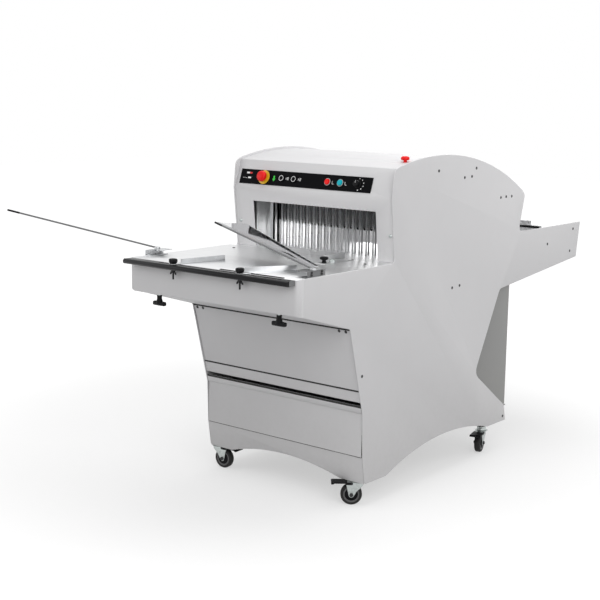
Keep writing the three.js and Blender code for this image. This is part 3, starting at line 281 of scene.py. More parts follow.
def box(x: Pair, y: Pair, z: Pair, edge: float = 0.4, corner: float = 0.0) -> Shape:
    """A block with rounded rims and, with a corner radius, rounded upright corners.

    Args:
        x: Its span across.
        y: Its span in depth.
        z: Its span in height.
        edge: Radius of the rims.
        corner: Radius of the upright corners.

    Returns:
        The block.
    """
    radius = max(corner, edge)
    corners = [(x[0], y[0], radius), (x[1], y[0], radius), (x[1], y[1], radius), (x[0], y[1], radius)]
    return slab(rounded(corners, 3), z[0], z[1], edge)


def along_x(shape: Shape, side: int = 1) -> Shape:
    """Lays a shape that stands along Z along X, or along -X where side is -1, with its own Y along Z."""
    return shape.placed(x=(0, side, 0), y=(0, 0, 1), z=(side, 0, 0))


def along_y(shape: Shape) -> Shape:
    """Lays a shape that stands along Z along -Y instead, its own X staying and its own Y along Z."""
    return shape.placed(x=(1, 0, 0), y=(0, 0, 1), z=(0, -1, 0))


def swept(path: np.ndarray, radius: float, sides: int = 16) -> Shape:
    """Carries a circle along a path: point = path + r cos a side + r sin a over, with side and over square
    to the path's direction, and closes its ends.

    Args:
        path: Points (n, 3).
        radius: The tube's radius.
        sides: Steps round it.

    Returns:
        The closed tube.
    """
    heading = np.gradient(path, axis=0)
    heading /= np.linalg.norm(heading, axis=1, keepdims=True)
    guide = np.array([0.0, 0.0, 1.0]) if abs(heading[0, 2]) < 0.9 else np.array([0.0, 1.0, 0.0])
    side = np.cross(heading, guide)
    side /= np.linalg.norm(side, axis=1, keepdims=True)
    over = np.cross(side, heading)
    angle = np.linspace(0, 2 * np.pi, sides, endpoint=False)[None, :, None]
    return capped(path[:, None] + radius * (np.cos(angle) * side[:, None] + np.sin(angle) * over[:, None]))


@dataclass(frozen=True)
class Face:
    """A front face that leans: from its foot at y and z it goes back by run while it rises by rise."""

    y: float
    z: float
    run: float
    rise: float

    def carry(self, shape: Shape, x: float, up: float, out: float = 0.0) -> Shape:
        """Sets a shape on the face.

        Args:
            shape: The shape, with Y up the face and Z outward.
            x: Its place across the face.
            up: Its place up the face.
            out: How far it stands off the face.

        Returns:
            The placed shape.
        """
        length = math.hypot(self.run, self.rise)
        s, c = self.run / length, self.rise / length
        origin = (x, self.y + s * up - c * out, self.z + c * up + s * out)
        return shape.placed(origin, y=(0, s, c), z=(0, -c, s))

    def at_height(self, shape: Shape, x: float, z: float) -> Shape:
        """Sets a shape on the face at a height above the floor."""
        return self.carry(shape, x, (z - self.z) * math.hypot(self.run, self.rise) / self.rise)


DOOR_FACE = Face(y=-590.0, z=337.0, run=-80.0, rise=303.0)
FASCIA_FACE = Face(y=-425.0, z=835.0, run=-24.0, rise=218.0)
STRIP_FACE = Face(y=-449.0, z=1053.0, run=35.0, rise=102.0)


# Finishes

FLOAT = "NodeSocketFloat"
VECTOR = "NodeSocketVector"
NOISE = "ShaderNodeTexNoise"
FLOOR_DUST = (0.42, 0.4, 0.37)
METAL_DUST = (0.3, 0.29, 0.27)
RUBBER_DUST = (0.22, 0.21, 0.19)


class Bench:
    """A short hand for laying out shader nodes in a tree."""

    def __init__(self, tree: bpy.types.NodeTree) -> None:
        """Keeps the tree that nodes are added to."""
        self.tree = tree

    def feed(self, target: bpy.types.NodeSocket, value: object) -> None:
        """Links an output to an input, or sets the input to a value.

        Args:
            target: The input.
            value: An output to link, or a plain value.
        """
        if isinstance(value, bpy.types.NodeSocket):
            self.tree.links.new(value, target)
        else:
            target.default_value = value

    def add(self, kind: str, **settings: object) -> bpy.types.Node:
        """Adds a node and sets its properties and inputs.

        Args:
            kind: The node's type name.
            **settings: Properties, or inputs written with their spaces as underscores.

        Returns:
            The new node.
        """
        node = self.tree.nodes.new(kind)
        for name, value in settings.items():
            if hasattr(node, name):
                setattr(node, name, value)
            else:
                self.feed(node.inputs[name.replace("_", " ")], value)
        return node

    def math(self, operation: str, first: object, second: object) -> bpy.types.NodeSocket:
        """Adds a math node on sockets or numbers and gives its output.

        Args:
            operation: The node's operation.
            first: Its first input, a socket or a number.
            second: Its second input.

        Returns:
            The node's output.
        """
        node = self.add("ShaderNodeMath", operation=operation)
        self.feed(node.inputs[0], first)
        self.feed(node.inputs[1], second)
        return node.outputs[0]

    def blend(self, share: bpy.types.NodeSocket, first: object, second: object) -> bpy.types.NodeSocket:
        """Adds a mix of two colours, each a socket or a triple, and gives its output.

        Args:
            share: How much of the second colour shows.
            first: The colour at 0.
            second: The colour at 1.

        Returns:
            The mixed colour.
        """
        node = self.add("ShaderNodeMix", data_type="RGBA")
        self.feed(node.inputs[0], share)
        for socket, colour in ((node.inputs[6], first), (node.inputs[7], second)):
            self.feed(socket, colour if isinstance(colour, bpy.types.NodeSocket) else (*colour, 1.0))
        return node.outputs[2]

    def span(self, value: bpy.types.NodeSocket, low: float, high: float) -> bpy.types.NodeSocket:
        """Stretches a value from 0..1 to low..high."""
        return self.add("ShaderNodeMapRange", Value=value, To_Min=low, To_Max=high).outputs[0]

    def seen(self) -> bpy.types.NodeSocket:
        """Gives 1 on camera, glossy and transmission rays, and 0 on all others.

        Returns:
            The value's socket.
        """
        rays = self.add("ShaderNodeLightPath").outputs
        direct = self.math("MAXIMUM", rays["Is Camera Ray"], rays["Is Glossy Ray"])
        return self.math("MAXIMUM", direct, rays["Is Transmission Ray"])


class Mix(Bench):
    """A material in the making, with its shader and the object coordinates that its textures read."""

    def __init__(self, name: str, **uniform: object) -> None:
        """Starts the material.

        Args:
            name: The material's name.
            **uniform: Shader inputs that are the same all over, with spaces as underscores.
        """
        self.material = bpy.data.materials.new(name)
        self.material.use_nodes = True
        super().__init__(self.material.node_tree)
        self.shader = self.tree.nodes["Principled BSDF"]
        self.set(**uniform)
        place = self.add("ShaderNodeTexCoord").outputs["Object"]
        self.place = self.add("ShaderNodeMapping", Vector=place).outputs[0]

    def set(self, **inputs: object) -> None:
        """Sets or links inputs of the shader."""
        for label, value in inputs.items():
            self.feed(self.shader.inputs[label.replace("_", " ")], value)

    def effect(self, group: bpy.types.NodeTree, **values: object) -> bpy.types.NodeOutputs:
        """Adds a shared effect on the coordinates, with its own values, and gives its outputs."""
        return self.add("ShaderNodeGroup", node_tree=group, Vector=self.place, **values).outputs

    def relief(self, height: bpy.types.NodeSocket, strength: float, depth: float) -> None:
        """Feeds a height into the shader's normal."""
        bump = self.add("ShaderNodeBump", Strength=strength, Distance=depth, Height=height)
        self.set(Normal=bump.outputs[0])


def start_effect(
    name: str, inputs: dict[str, str], *results: str
) -> tuple[Bench, bpy.types.NodeOutputs, bpy.types.NodeInputs]:
    """Starts a shader node group with named sockets.

    Args:
        name: The group's name.
        inputs: Socket names and types that go in.
        *results: Names of the values that come out.

    Returns:
        A bench on the group, the sockets that bring its inputs and those that take its results.
    """
    tree = bpy.data.node_groups.new(name, "ShaderNodeTree")
    for label, kind in inputs.items():
        tree.interface.new_socket(name=label, in_out="INPUT", socket_type=kind)
    for label in results:
        tree.interface.new_socket(name=label, in_out="OUTPUT", socket_type=FLOAT)
    bench = Bench(tree)
    return bench, bench.add("NodeGroupInput").outputs, bench.add("NodeGroupOutput").inputs


@lru_cache(maxsize=None)
def grain_group(cloud_share: float = 0.012) -> bpy.types.NodeTree:
    """Fine even grain, with a slow cloud through it at a share of the grain's scale.

    Args:
        cloud_share: Scale of the cloud as a share of the grain's.

    Returns:
        The group.
    """
    bench, given, results = start_effect("fine_grain", {"Vector": VECTOR, "Scale": FLOAT}, "Height", "Cloud")
    slow = bench.math("MULTIPLY", given["Scale"], cloud_share)
    fine = bench.add(NOISE, Vector=given["Vector"], Scale=given["Scale"], Detail=2.0, Roughness=0.6)
    cloud = bench.add(NOISE, Vector=given["Vector"], Scale=slow, Detail=3.0, Roughness=0.55)
    bench.feed(results["Height"], fine.outputs[0])
    bench.feed(results["Cloud"], cloud.outputs[0])
    return bench.tree


@lru_cache(maxsize=None)
def streak_group() -> bpy.types.NodeTree:
    """Brushed streaks: noise on coordinates that are stretched by a vector.

    Returns:
        The group.
    """
    inputs = {"Vector": VECTOR, "Stretch": VECTOR}
    bench, given, results = start_effect("brushed_streaks", inputs, "Height", "Shade")
    drawn = bench.add("ShaderNodeVectorMath", operation="MULTIPLY")
    bench.feed(drawn.inputs[0], given["Vector"])
    bench.feed(drawn.inputs[1], given["Stretch"])
    fine = bench.add(NOISE, Vector=drawn.outputs[0], Scale=1.0, Detail=4.0, Roughness=0.65)
    broad = bench.add(NOISE, Vector=drawn.outputs[0], Scale=0.08, Detail=3.0, Roughness=0.5)
    bench.feed(results["Height"], fine.outputs[0])
    bench.feed(results["Shade"], broad.outputs[0])
    return bench.tree


@lru_cache(maxsize=None)
def scratch_group(bend: float = 0.35, width: float = 0.012, sparsity: float = 0.56) -> bpy.types.NodeTree:
    """Sparse hair lines: the borders of warped cells, kept only where a slow noise is high.

    Args:
        bend: How far the noise warps the cells.
        width: Width of the lines.
        sparsity: The slow noise's level above which they show.

    Returns:
        The group.
    """
    bench, given, results = start_effect("hair_scratches", {"Vector": VECTOR, "Scale": FLOAT}, "Mask")
    warp = bench.add(NOISE, Vector=given["Vector"], Scale=9.0, Detail=1.0)
    bent = bench.add("ShaderNodeVectorMath", operation="MULTIPLY_ADD")
    for socket, value in zip(bent.inputs, (warp.outputs["Color"], (bend, bend, bend), given["Vector"])):
        bench.feed(socket, value)
    cells = bench.add(
        "ShaderNodeTexVoronoi", feature="DISTANCE_TO_EDGE", Vector=bent.outputs[0], Scale=given["Scale"]
    )
    patch = bench.add(NOISE, Vector=given["Vector"], Scale=14.0, Detail=2.0)
    line = bench.math("LESS_THAN", cells.outputs[0], width)
    sparse = bench.math("GREATER_THAN", patch.outputs[0], sparsity)
    bench.feed(results["Mask"], bench.math("MULTIPLY", line, sparse))
    return bench.tree


@lru_cache(maxsize=None)
def dust_group() -> bpy.types.NodeTree:
    """Floor dust: strongest at the floor and gone at a height, broken up by noise.

    Returns:
        The group.
    """
    bench, given, results = start_effect("floor_dust", {"Vector": VECTOR, "Top": FLOAT}, "Mask")
    height = bench.add("ShaderNodeSeparateXYZ", Vector=given["Vector"]).outputs["Z"]
    fall = bench.math("SUBTRACT", 1.0, bench.math("DIVIDE", height, given["Top"]))
    low = bench.math("MAXIMUM", fall, 0.0)
    speck = bench.add(NOISE, Vector=given["Vector"], Scale=55.0, Detail=4.0, Roughness=0.7)
    bench.feed(results["Mask"], bench.math("MULTIPLY", low, speck.outputs[0]))
    return bench.tree


class Slot(Enum):
    """The record's material slots."""

    POWDER = "powder"
    DARK_POWDER = "dark_powder"
    STAINLESS = "stainless"
    ZINC = "zinc"
    STEEL = "steel"
    RAIL = "rail_steel"
    MOTOR = "motor_paint"
    TYRE = "tyre_rubber"
    STRIP = "strip_black"
    RED = "red_plastic"
    TEAL = "teal_plastic"
    BLACK = "black_plastic"


@dataclass(frozen=True)
class Finish:
    """What all finishes share: a name, the record's usual slot, a colour and a roughness. The tones are the
    shares of the colour between which it wanders, and wander is how far the roughness goes down and up."""

    name: str
    slot: Slot
    colour: Triple
    roughness: float = 0.45
    tones: Pair = (0.82, 1.2)
    wander: Pair = (-0.06, 0.1)

    def shade(self, share: float) -> Triple:
        """The colour, made lighter or darker by a share."""
        return tuple(min(1.0, value * share) for value in self.colour)

    def tone(self, mix: Mix, value: bpy.types.NodeSocket) -> bpy.types.NodeSocket:
        """A colour that goes from the darker to the lighter tone with a value."""
        return mix.blend(value, self.shade(self.tones[0]), self.shade(self.tones[1]))

    def rough(self, mix: Mix, value: bpy.types.NodeSocket) -> bpy.types.NodeSocket:
        """A roughness that wanders with a value."""
        return mix.span(value, self.roughness + self.wander[0], self.roughness + self.wander[1])


@dataclass(frozen=True)
class PowderCoat(Finish):
    """Baked powder paint: fine orange peel, slow colour cloud and dust near the floor."""

    tones: Pair = (0.965, 1.03)
    wander: Pair = (-0.06, 0.08)
    grain: float = 620.0
    peel: Pair = (0.18, 0.0006)
    dust: float = 0.35
    dust_top: float = 0.45

    def build(self) -> bpy.types.Material:
        """Makes the material.

        Returns:
            The material.
        """
        mix = Mix(self.name, Metallic=0.0)
        grain = mix.effect(grain_group(), Scale=self.grain)
        dust = mix.math("MULTIPLY", mix.effect(dust_group(), Top=self.dust_top)["Mask"], self.dust)
        mix.set(Base_Color=mix.blend(dust, self.tone(mix, grain["Cloud"]), FLOOR_DUST))
        mix.set(Roughness=self.rough(mix, grain["Cloud"]))
        mix.relief(grain["Height"], *self.peel)
        return mix.material


@dataclass(frozen=True)
class BrushedSteel(Finish):
    """Sheet steel with brushed streaks along one direction and a few hair scratches."""

    roughness: float = 0.25
    tones: Pair = (0.9, 1.08)
    wander: Pair = (-0.05, 0.1)
    stretch: Triple = (12.0, 900.0, 900.0)
    bump: float = 0.12
    bump_depth: float = 0.0002
    hair: float = 26.0
    hair_tone: float = 1.6
    hair_strength: float = 0.3
    hair_roughness: float = 0.1

    def build(self) -> bpy.types.Material:
        """Makes the material.

        Returns:
            The material.
        """
        mix = Mix(self.name, Metallic=1.0)
        streaks = mix.effect(streak_group(), Stretch=self.stretch)
        hairs = mix.effect(scratch_group(), Scale=self.hair)["Mask"]
        pale = mix.math("MULTIPLY", hairs, self.hair_strength)
        mix.set(Base_Color=mix.blend(pale, self.tone(mix, streaks["Shade"]), self.shade(self.hair_tone)))
        rough = self.rough(mix, streaks["Height"])
        mix.set(Roughness=mix.math("ADD", rough, mix.math("MULTIPLY", hairs, self.hair_roughness)))
        mix.relief(streaks["Height"], self.bump, self.bump_depth)
        return mix.material


@dataclass(frozen=True)
class ZincPlate(Finish):
    """Zinc plated steel with faint spangles and a greenish cast."""

    roughness: float = 0.32
    tones: Pair = (0.86, 1.06)
    wander: Pair = (-0.08, 0.14)
    spangle: float = 170.0
    grain: float = 900.0
    relief: Pair = (0.12, 0.0003)
    dust: float = 0.4
    dust_top: float = 0.13

    def build(self) -> bpy.types.Material:
        """Makes the material.

        Returns:
            The material.
        """
        mix = Mix(self.name, Metallic=1.0)
        cells = mix.add("ShaderNodeTexVoronoi", Scale=self.spangle, Vector=mix.place)
        spangle = mix.add("ShaderNodeSeparateColor", Color=cells.outputs["Color"]).outputs[0]
        grain = mix.effect(grain_group(), Scale=self.grain)
        dust = mix.math("MULTIPLY", mix.effect(dust_group(), Top=self.dust_top)["Mask"], self.dust)
        mix.set(Base_Color=mix.blend(dust, self.tone(mix, spangle), METAL_DUST))
        mix.set(Roughness=self.rough(mix, grain["Cloud"]))
        mix.relief(grain["Height"], *self.relief)
        return mix.material


@dataclass(frozen=True)
class Moulded(Finish):
    """Moulded plastic or rubber: even grain, worn patches and, near the floor, dust."""

    grain: float = 1300.0
    bump: float = 0.2
    bump_depth: float = 0.0003
    dust: float = 0.0
    dust_top: float = 0.12
    shine: float = 0.5
    hair: float = 60.0
    hair_roughness: float = 0.12

    def build(self) -> bpy.types.Material:
        """Makes the material.

        Returns:
            The material.
        """
        mix = Mix(self.name, Metallic=0.0, Specular_IOR_Level=self.shine)
        grain = mix.effect(grain_group(), Scale=self.grain)
        hairs = mix.effect(scratch_group(), Scale=self.hair)["Mask"]
        tone = self.tone(mix, grain["Cloud"])
        if self.dust > 0:
            dust = mix.math("MULTIPLY", mix.effect(dust_group(), Top=self.dust_top)["Mask"], self.dust)
            tone = mix.blend(dust, tone, RUBBER_DUST)
        rough = self.rough(mix, grain["Cloud"])
        mix.set(Base_Color=tone)
        mix.set(Roughness=mix.math("ADD", rough, mix.math("MULTIPLY", hairs, self.hair_roughness)))
        mix.relief(grain["Height"], self.bump, self.bump_depth)
        return mix.material


UPRIGHT = (500.0, 500.0, 14.0)
CROSSWISE = (8.0, 700.0, 700.0)


class Coat(Enum):
    """The finishes that the machine's pieces wear."""

    POWDER = PowderCoat("powder_pale_grey", Slot.POWDER, (0.66, 0.655, 0.665))
    DARK_POWDER = PowderCoat("powder_mid_grey", Slot.DARK_POWDER, (0.27, 0.27, 0.265), roughness=0.5)
    # Near-black paint for the hood's front wall: painted shade standing for the shadow inside the head.
    PAINTED_SHADE_HOOD = PowderCoat("painted_shade_hood_front", Slot.DARK_POWDER, (0.05, 0.05, 0.052), roughness=0.55, dust=0.0)
    MOTOR = PowderCoat("motor_paint", Slot.MOTOR, (0.09, 0.11, 0.13), roughness=0.4)
    TABLE = BrushedSteel(
        "table_steel", Slot.STAINLESS, (0.78, 0.785, 0.79), roughness=0.34, stretch=CROSSWISE, bump=0.05
    )
    BED = BrushedSteel(
        "bed_steel", Slot.STAINLESS, (0.9, 0.905, 0.91), roughness=0.36, stretch=CROSSWISE, bump=0.05
    )
    MIRROR = BrushedSteel(
        "paddle_steel", Slot.STAINLESS, (0.74, 0.75, 0.76), roughness=0.06, wander=(-0.025, 0.05),
        stretch=(9.0, 500.0, 500.0), bump=0.02,
    )
    SHEET = BrushedSteel("bracket_steel", Slot.STAINLESS, (0.58, 0.59, 0.6), roughness=0.28, stretch=UPRIGHT)
    DARK_SHEET = BrushedSteel(
        "dark_bracket_steel", Slot.STAINLESS, (0.16, 0.162, 0.165), roughness=0.32, stretch=UPRIGHT
    )
    LINER = BrushedSteel("liner_steel", Slot.STAINLESS, (0.86, 0.865, 0.87), roughness=0.45, stretch=UPRIGHT)
    BLADE = BrushedSteel(
        "blade_steel", Slot.STAINLESS, (0.9, 0.905, 0.91), roughness=0.45, stretch=(400.0, 400.0, 10.0),
        bump=0.06,
    )
    FRAME = BrushedSteel("frame_steel", Slot.STAINLESS, (0.5, 0.51, 0.52), roughness=0.35)
    MACHINED = BrushedSteel(
        "machined_steel", Slot.STEEL, (0.36, 0.365, 0.37), roughness=0.3, stretch=(700.0, 30.0, 30.0)
    )
    RAIL = BrushedSteel(
        "rail_steel", Slot.RAIL, (0.022, 0.022, 0.023), roughness=0.32, stretch=(10.0, 600.0, 600.0)
    )
    ZINC = ZincPlate("zinc_plate", Slot.ZINC, (0.52, 0.56, 0.55))
    TYRE = Moulded(
        "tyre_rubber", Slot.TYRE, (0.014, 0.014, 0.015), roughness=0.62, grain=700.0, dust=0.2, shine=0.2
    )
    SCREW = Moulded(
        "screw_black_oxide", Slot.STEEL, (0.025, 0.025, 0.026), roughness=0.4, bump=0.05, shine=0.4
    )
    HUB = Moulded("wheel_hub", Slot.TYRE, (0.1, 0.1, 0.105), dust=0.3)
    BELT = Moulded("belt_rubber", Slot.BLACK, (0.02, 0.02, 0.02), roughness=0.8, grain=500.0)
    BLACK = Moulded("black_plastic", Slot.BLACK, (0.006, 0.006, 0.007), shine=0.12)
    FILM = Moulded("strip_film", Slot.STRIP, (0.004, 0.004, 0.005), roughness=0.4, bump=0.05, shine=0.03)
    RED = Moulded("red_plastic", Slot.RED, (0.8, 0.006, 0.006), roughness=0.35, bump=0.04, shine=0.25)
    YELLOW = Moulded("yellow_plastic", Slot.STRIP, (0.78, 0.52, 0.02), roughness=0.35, bump=0.05)
    TEAL = Moulded("teal_plastic", Slot.TEAL, (0.0, 0.4, 0.48), roughness=0.35, bump=0.04, shine=0.25)
    PALE = Moulded("pale_plastic", Slot.STRIP, (0.42, 0.42, 0.41), roughness=0.35, bump=0.05)
    WHITE = Moulded("white_print", Slot.STRIP, (0.8, 0.8, 0.8), bump=0.03)
    GREEN = Moulded("green_print", Slot.STRIP, (0.02, 0.62, 0.04), roughness=0.4, bump=0.03)
    DARK_RED = Moulded("red_print", Slot.STRIP, (0.6, 0.01, 0.01), roughness=0.4, bump=0.03)


# Making pieces


@dataclass(frozen=True)
class Datum:
    """Where the body's own frame lies in the model: the places of its X and Y zero, in metres."""

    x: float
    y: float

    @classmethod
    def from_model(cls, comb_rear: float = -250.0) -> Datum:
        """Reads the datum off the side panels and the comb plate's rear edge."""
        left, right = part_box("side_panel_left")[0].x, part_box("side_panel_right")[1].x
        return cls((left + right) / 2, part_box("comb_plate")[1].y - comb_rear * MM)

    def metres(self, points: np.ndarray) -> np.ndarray:
        """Turns body millimetres into the model's metres."""
        return points * MM + np.array([self.x, self.y, 0.0])


def place_object(name: str, data: bpy.types.ID) -> bpy.types.Object:
    """Puts a mesh, a lamp or a camera into the scene as a new object.

    Args:
        name: The object's name.
        data: The mesh, lamp or camera.

    Returns:
        The object.
    """
    holder = bpy.data.objects.new(name, data)
    bpy.context.scene.collection.objects.link(holder)
    return holder


class Workshop:
    """Turns shapes and model nodes into finished pieces."""

    def __init__(self, datum: Datum, nodes: dict[str, bpy.types.Object]) -> None:
        """Keeps the datum and the model's nodes.

        Args:
            datum: Where the body's frame lies.
            nodes: The model's objects by node name.
        """
        self.datum = datum
        self.nodes = nodes
        self.materials: dict[Coat, bpy.types.Material] = {}

    def material(self, coat: Coat) -> bpy.types.Material:
        """Gives a finish's material, made on its first use.

        Args:
            coat: The finish.

        Returns:
            Its material.
        """
        if coat not in self.materials:
            self.materials[coat] = coat.value.build()
        return self.materials[coat]

    def make(
        self,
        name: str,
        shape: Shape | Sequence[Shape],
        coat: Coat,
        body: str = "body",
        slot: Slot | None = None,
        replaces: Sequence[str] = (),
        crease: float = 35.0,
        weld: float = 1e-6,
    ) -> bpy.types.Object:
        """Makes a piece from shapes in body millimetres.

        Args:
            name: The piece's name.
            shape: Its closed surface, or several that it joins.
            coat: Its finish.
            body: The model body that it rides on.
            slot: The record's slot, where that isn't the finish's usual one.
            replaces: Nodes that it stands for.
            crease: Edges sharper than this angle in degrees stay sharp.
            weld: Points closer than this, in metres, become one.

        Returns:
            The new object.
        """
        whole = shape if isinstance(shape, Shape) else Shape.joined(shape)
        mesh = bpy.data.meshes.new(name)
        mesh.from_pydata(self.datum.metres(whole.points).tolist(), [], whole.faces)
        work = bmesh.new()
        work.from_mesh(mesh)
        bmesh.ops.remove_doubles(work, verts=work.verts, dist=weld)
        bmesh.ops.recalc_face_normals(work, faces=work.faces)
        work.to_mesh(mesh)
        work.free()
        mesh.shade_smooth()
        mesh.set_sharp_from_angle(angle=math.radians(crease))
        return self.finish(place_object(name, mesh), coat, body, slot or coat.value.slot, replaces)

    def finish(
        self, piece: bpy.types.Object, coat: Coat, body: str, slot: Slot, replaces: Sequence[str] = ()
    ) -> bpy.types.Object:
        """Gives a piece its material and body, and hides the nodes that it stands for.

        Args:
            piece: The object.
            coat: Its finish.
            body: The model body that it rides on.
            slot: The record's slot; not used.
            replaces: Nodes that it stands for.

        Returns:
            The same object.
        """
        piece.data.materials.clear()
        piece.data.materials.append(self.material(coat))
        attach(piece, body)
        if replaces:
            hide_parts(*replaces)
        LOG.info("%s on %s: %d faces", piece.name, body, len(piece.data.polygons))
        return piece

    def dress(self, coat: Coat, *names: str) -> None:
        """Puts a finish on model nodes as they are.

        Args:
            coat: The finish.
            *names: The nodes.
        """
        for name in names:
            node = self.nodes[name]
            node.data.materials.clear()
            node.data.materials.append(self.material(coat))

    def soften(
        self, node_name: str, coat: Coat, rim: float, body: str = "body", steps: int = 2, flat: float = 0.6,
        corner: float = 32.0, weld: float = 2e-6,
    ) -> bpy.types.Object:
        """Replaces a node by a copy with its facets merged and its rims rounded.

        Args:
            node_name: The node.
            coat: Its finish.
            rim: Width of the rounded rims in millimetres.
            body: The body that it rides on.
            steps: Segments across a rim.
            flat: Facets that meet at less than this angle in degrees become one.
            corner: Edges sharper than this angle in degrees are rounded.
            weld: Points closer than this, in metres, become one.

        Returns:
            The copy.
        """
        mesh = self.nodes[node_name].data.copy()
        work = bmesh.new()
        work.from_mesh(mesh)
        bmesh.ops.remove_doubles(work, verts=work.verts, dist=weld)
        bmesh.ops.dissolve_limit(work, angle_limit=math.radians(flat), verts=work.verts, edges=work.edges)
        work.to_mesh(mesh)
        work.free()
        mesh.shade_smooth()
        piece = place_object(f"{node_name}_skin", mesh)
        bevel = piece.modifiers.new("rims", "BEVEL")
        bevel.width = rim * MM
        bevel.segments = steps
        bevel.limit_method = "ANGLE"
        bevel.angle_limit = math.radians(corner)
        bevel.use_clamp_overlap = False
        bevel.harden_normals = True
        return self.finish(piece, coat, body, coat.value.slot, [node_name])


# Sub-assemblies


@dataclass
class Casing:
    """The painted sheets, the table and the infeed."""

    panel_rim: float = 1.8
    sheet_rim: float = 0.7
    sheets: tuple[str, ...] = (
        "head_fascia", "roof_cover", "front_apron", "base_front", "cross_rail", "infeed_shell"
    )
    # Where the near-black sheet of painted shade lies over the hood's front wall.
    hood: Block = ((-355, 355), (-282.0, -280.1), (925.5, 1118))
    # Black strips in the joints of the front, at the door, under the apron and round the drawer: painted
    # shadow lines.
    painted_shadow_seals: tuple[tuple[Block, float], ...] = (
        (((-354.4, 354.4), (-612.0, -605.0), (414.6, 419.7)), 0.5),
        (((-354.4, 354.4), (-674.0, -667.0), (634.9, 639.6)), 0.5),
        (((-378, 345), (-939.0, -935.0), (717.0, 721.2)), 0.5),
        (((-354.4, 354.4), (-589.6, -586.0), (180.6, 182.2)), 0.2),
        (((354.6, 355.9), (-589.6, -585.0), (190, 262)), 0.2),
        (((-355.9, -354.6), (-589.6, -585.0), (184, 334)), 0.2),
    )
    lip: Block = ((-354.2, 354.2), (1.0, 20.0), (-0.2, 3.6))
    lip_rim: float = 1.4
    # Block of the black strip in the lower part of the drawer's finger slot: painted shade.
    trim: Block = ((-354.2, 354.2), (19.5, 27.8), (-0.2, 1.4))
    trim_rim: float = 0.5

    def build(self, shop: Workshop) -> None:
        """Rounds the rims of the sheets, dresses the plain ones and faces the hood with a sheet of painted
        shade.

        Args:
            shop: The workshop that makes the pieces.
        """
        for side, _ in SIDES:
            shop.soften(f"side_panel_{side}", Coat.POWDER, self.panel_rim, steps=3)
        for node in self.sheets:
            shop.soften(node, Coat.POWDER, self.sheet_rim)
        shop.soften("rear_enclosure", Coat.DARK_POWDER, self.sheet_rim)
        shop.soften("access_door", Coat.POWDER, self.sheet_rim, "door")
        shop.soften("crumb_drawer", Coat.POWDER, self.sheet_rim, "drawer")
        shop.soften("front_table", Coat.TABLE, self.sheet_rim)
        shop.soften("lip_rail", Coat.RAIL, self.sheet_rim)
        shop.dress(Coat.BED, "comb_plate", "infeed_bed")
        shop.dress(Coat.POWDER, "passage_hood")
        # A near-black sheet over the hood's front wall: painted shade.
        shop.make("hood_painted_shade", box(*self.hood), Coat.PAINTED_SHADE_HOOD)
        shop.dress(Coat.DARK_POWDER, "chassis")
        self.build_painted_shadow_seals(shop)
        shop.dress(Coat.LINER, "blade_guide_left", "blade_guide_right")
        shop.dress(Coat.FILM, "control_strip")

    def build_painted_shadow_seals(self, shop: Workshop) -> None:
        """Lays black strips in the joints at the door's foot and head, under the apron and round the drawer,
        as painted shadow lines, and gives the drawer's head a folded lip with a black strip of painted shade
        above it, in the finger slot.

        Args:
            shop: The workshop that makes the pieces.
        """
        # Black strips that stand for the shade in the gaps: painted shadow lines.
        shop.make("front_painted_shadow_seals", [box(*block, edge) for block, edge in self.painted_shadow_seals], Coat.BELT)
        shop.make("drawer_lip", DOOR_FACE.carry(box(*self.lip, self.lip_rim), 0, 0), Coat.POWDER, "drawer")
        # A black strip in the finger slot above the lip: painted shade that darkens the slot.
        shop.make("drawer_slot_shade", DOOR_FACE.carry(box(*self.trim, self.trim_rim), 0, 0), Coat.BELT, "drawer")


@dataclass
class Screws:
    """Low socket screws on the panels, and the bolts on the fascia and table."""

    side_x: float = 360.0
    side_places: tuple[Pair, ...] = (
        (-169, 1138), (86, 1137), (6, 1106), (56, 1108), (274, 1017), (314, 1018), (357, 1017), (669, 802),
        (892, 847), (871, 755), (-54, 706), (-3, 709), (360, 138), (-603, 470),
    )
    door_places: tuple[Pair, ...] = ((-340, 628), (-312, 628), (308, 628), (336, 628))
    bolt_places: tuple[Pair, ...] = ((344, 928), (-336, 929))
    table_places: tuple[Triple, ...] = ((-299, -516, 835), (299, -516, 835))
    head: Outline = ((0, -1.2), (5.5, -1.2), (5.5, 0.32), (5.06, 0.8), (2.75, 0.8), (2.53, 0.16), (0, 0.16))
    dome: Outline = (
        (0, -1), (6.5, -1), (6.5, 0.8), (6.1, 1.6), (4.2, 3.6), (2.4, 4.2), (2.3, 2.4), (0, 2.4),
    )
    low_head: Outline = ((0, -1), (5.5, -1), (5.5, 0.4), (4.6, 1.6), (2.4, 2.0), (2.4, 0.6), (0, 0.6))

    def build(self, shop: Workshop) -> None:
        """Sets the screws into the panels, the door, the fascia and the table.

        Args:
            shop: The workshop that makes the pieces.
        """
        head, dome, low = lathe(self.head, 24), lathe(self.dome, 32), lathe(self.low_head, 24)
        for name, side in reversed(SIDES):
            heads = [along_x(head, side).moved(side * self.side_x, y, z) for y, z in self.side_places]
            shop.make(f"side_screws_{name}", heads, Coat.SCREW)
        heads = [DOOR_FACE.at_height(head, x, z) for x, z in self.door_places]
        shop.make("door_screws", heads, Coat.SCREW, "door")
        bolts = [FASCIA_FACE.at_height(dome, x, z) for x, z in self.bolt_places]
        shop.make("fascia_bolts", bolts, Coat.ZINC)
        shop.make("table_screws", [low.moved(*place) for place in self.table_places], Coat.SCREW)


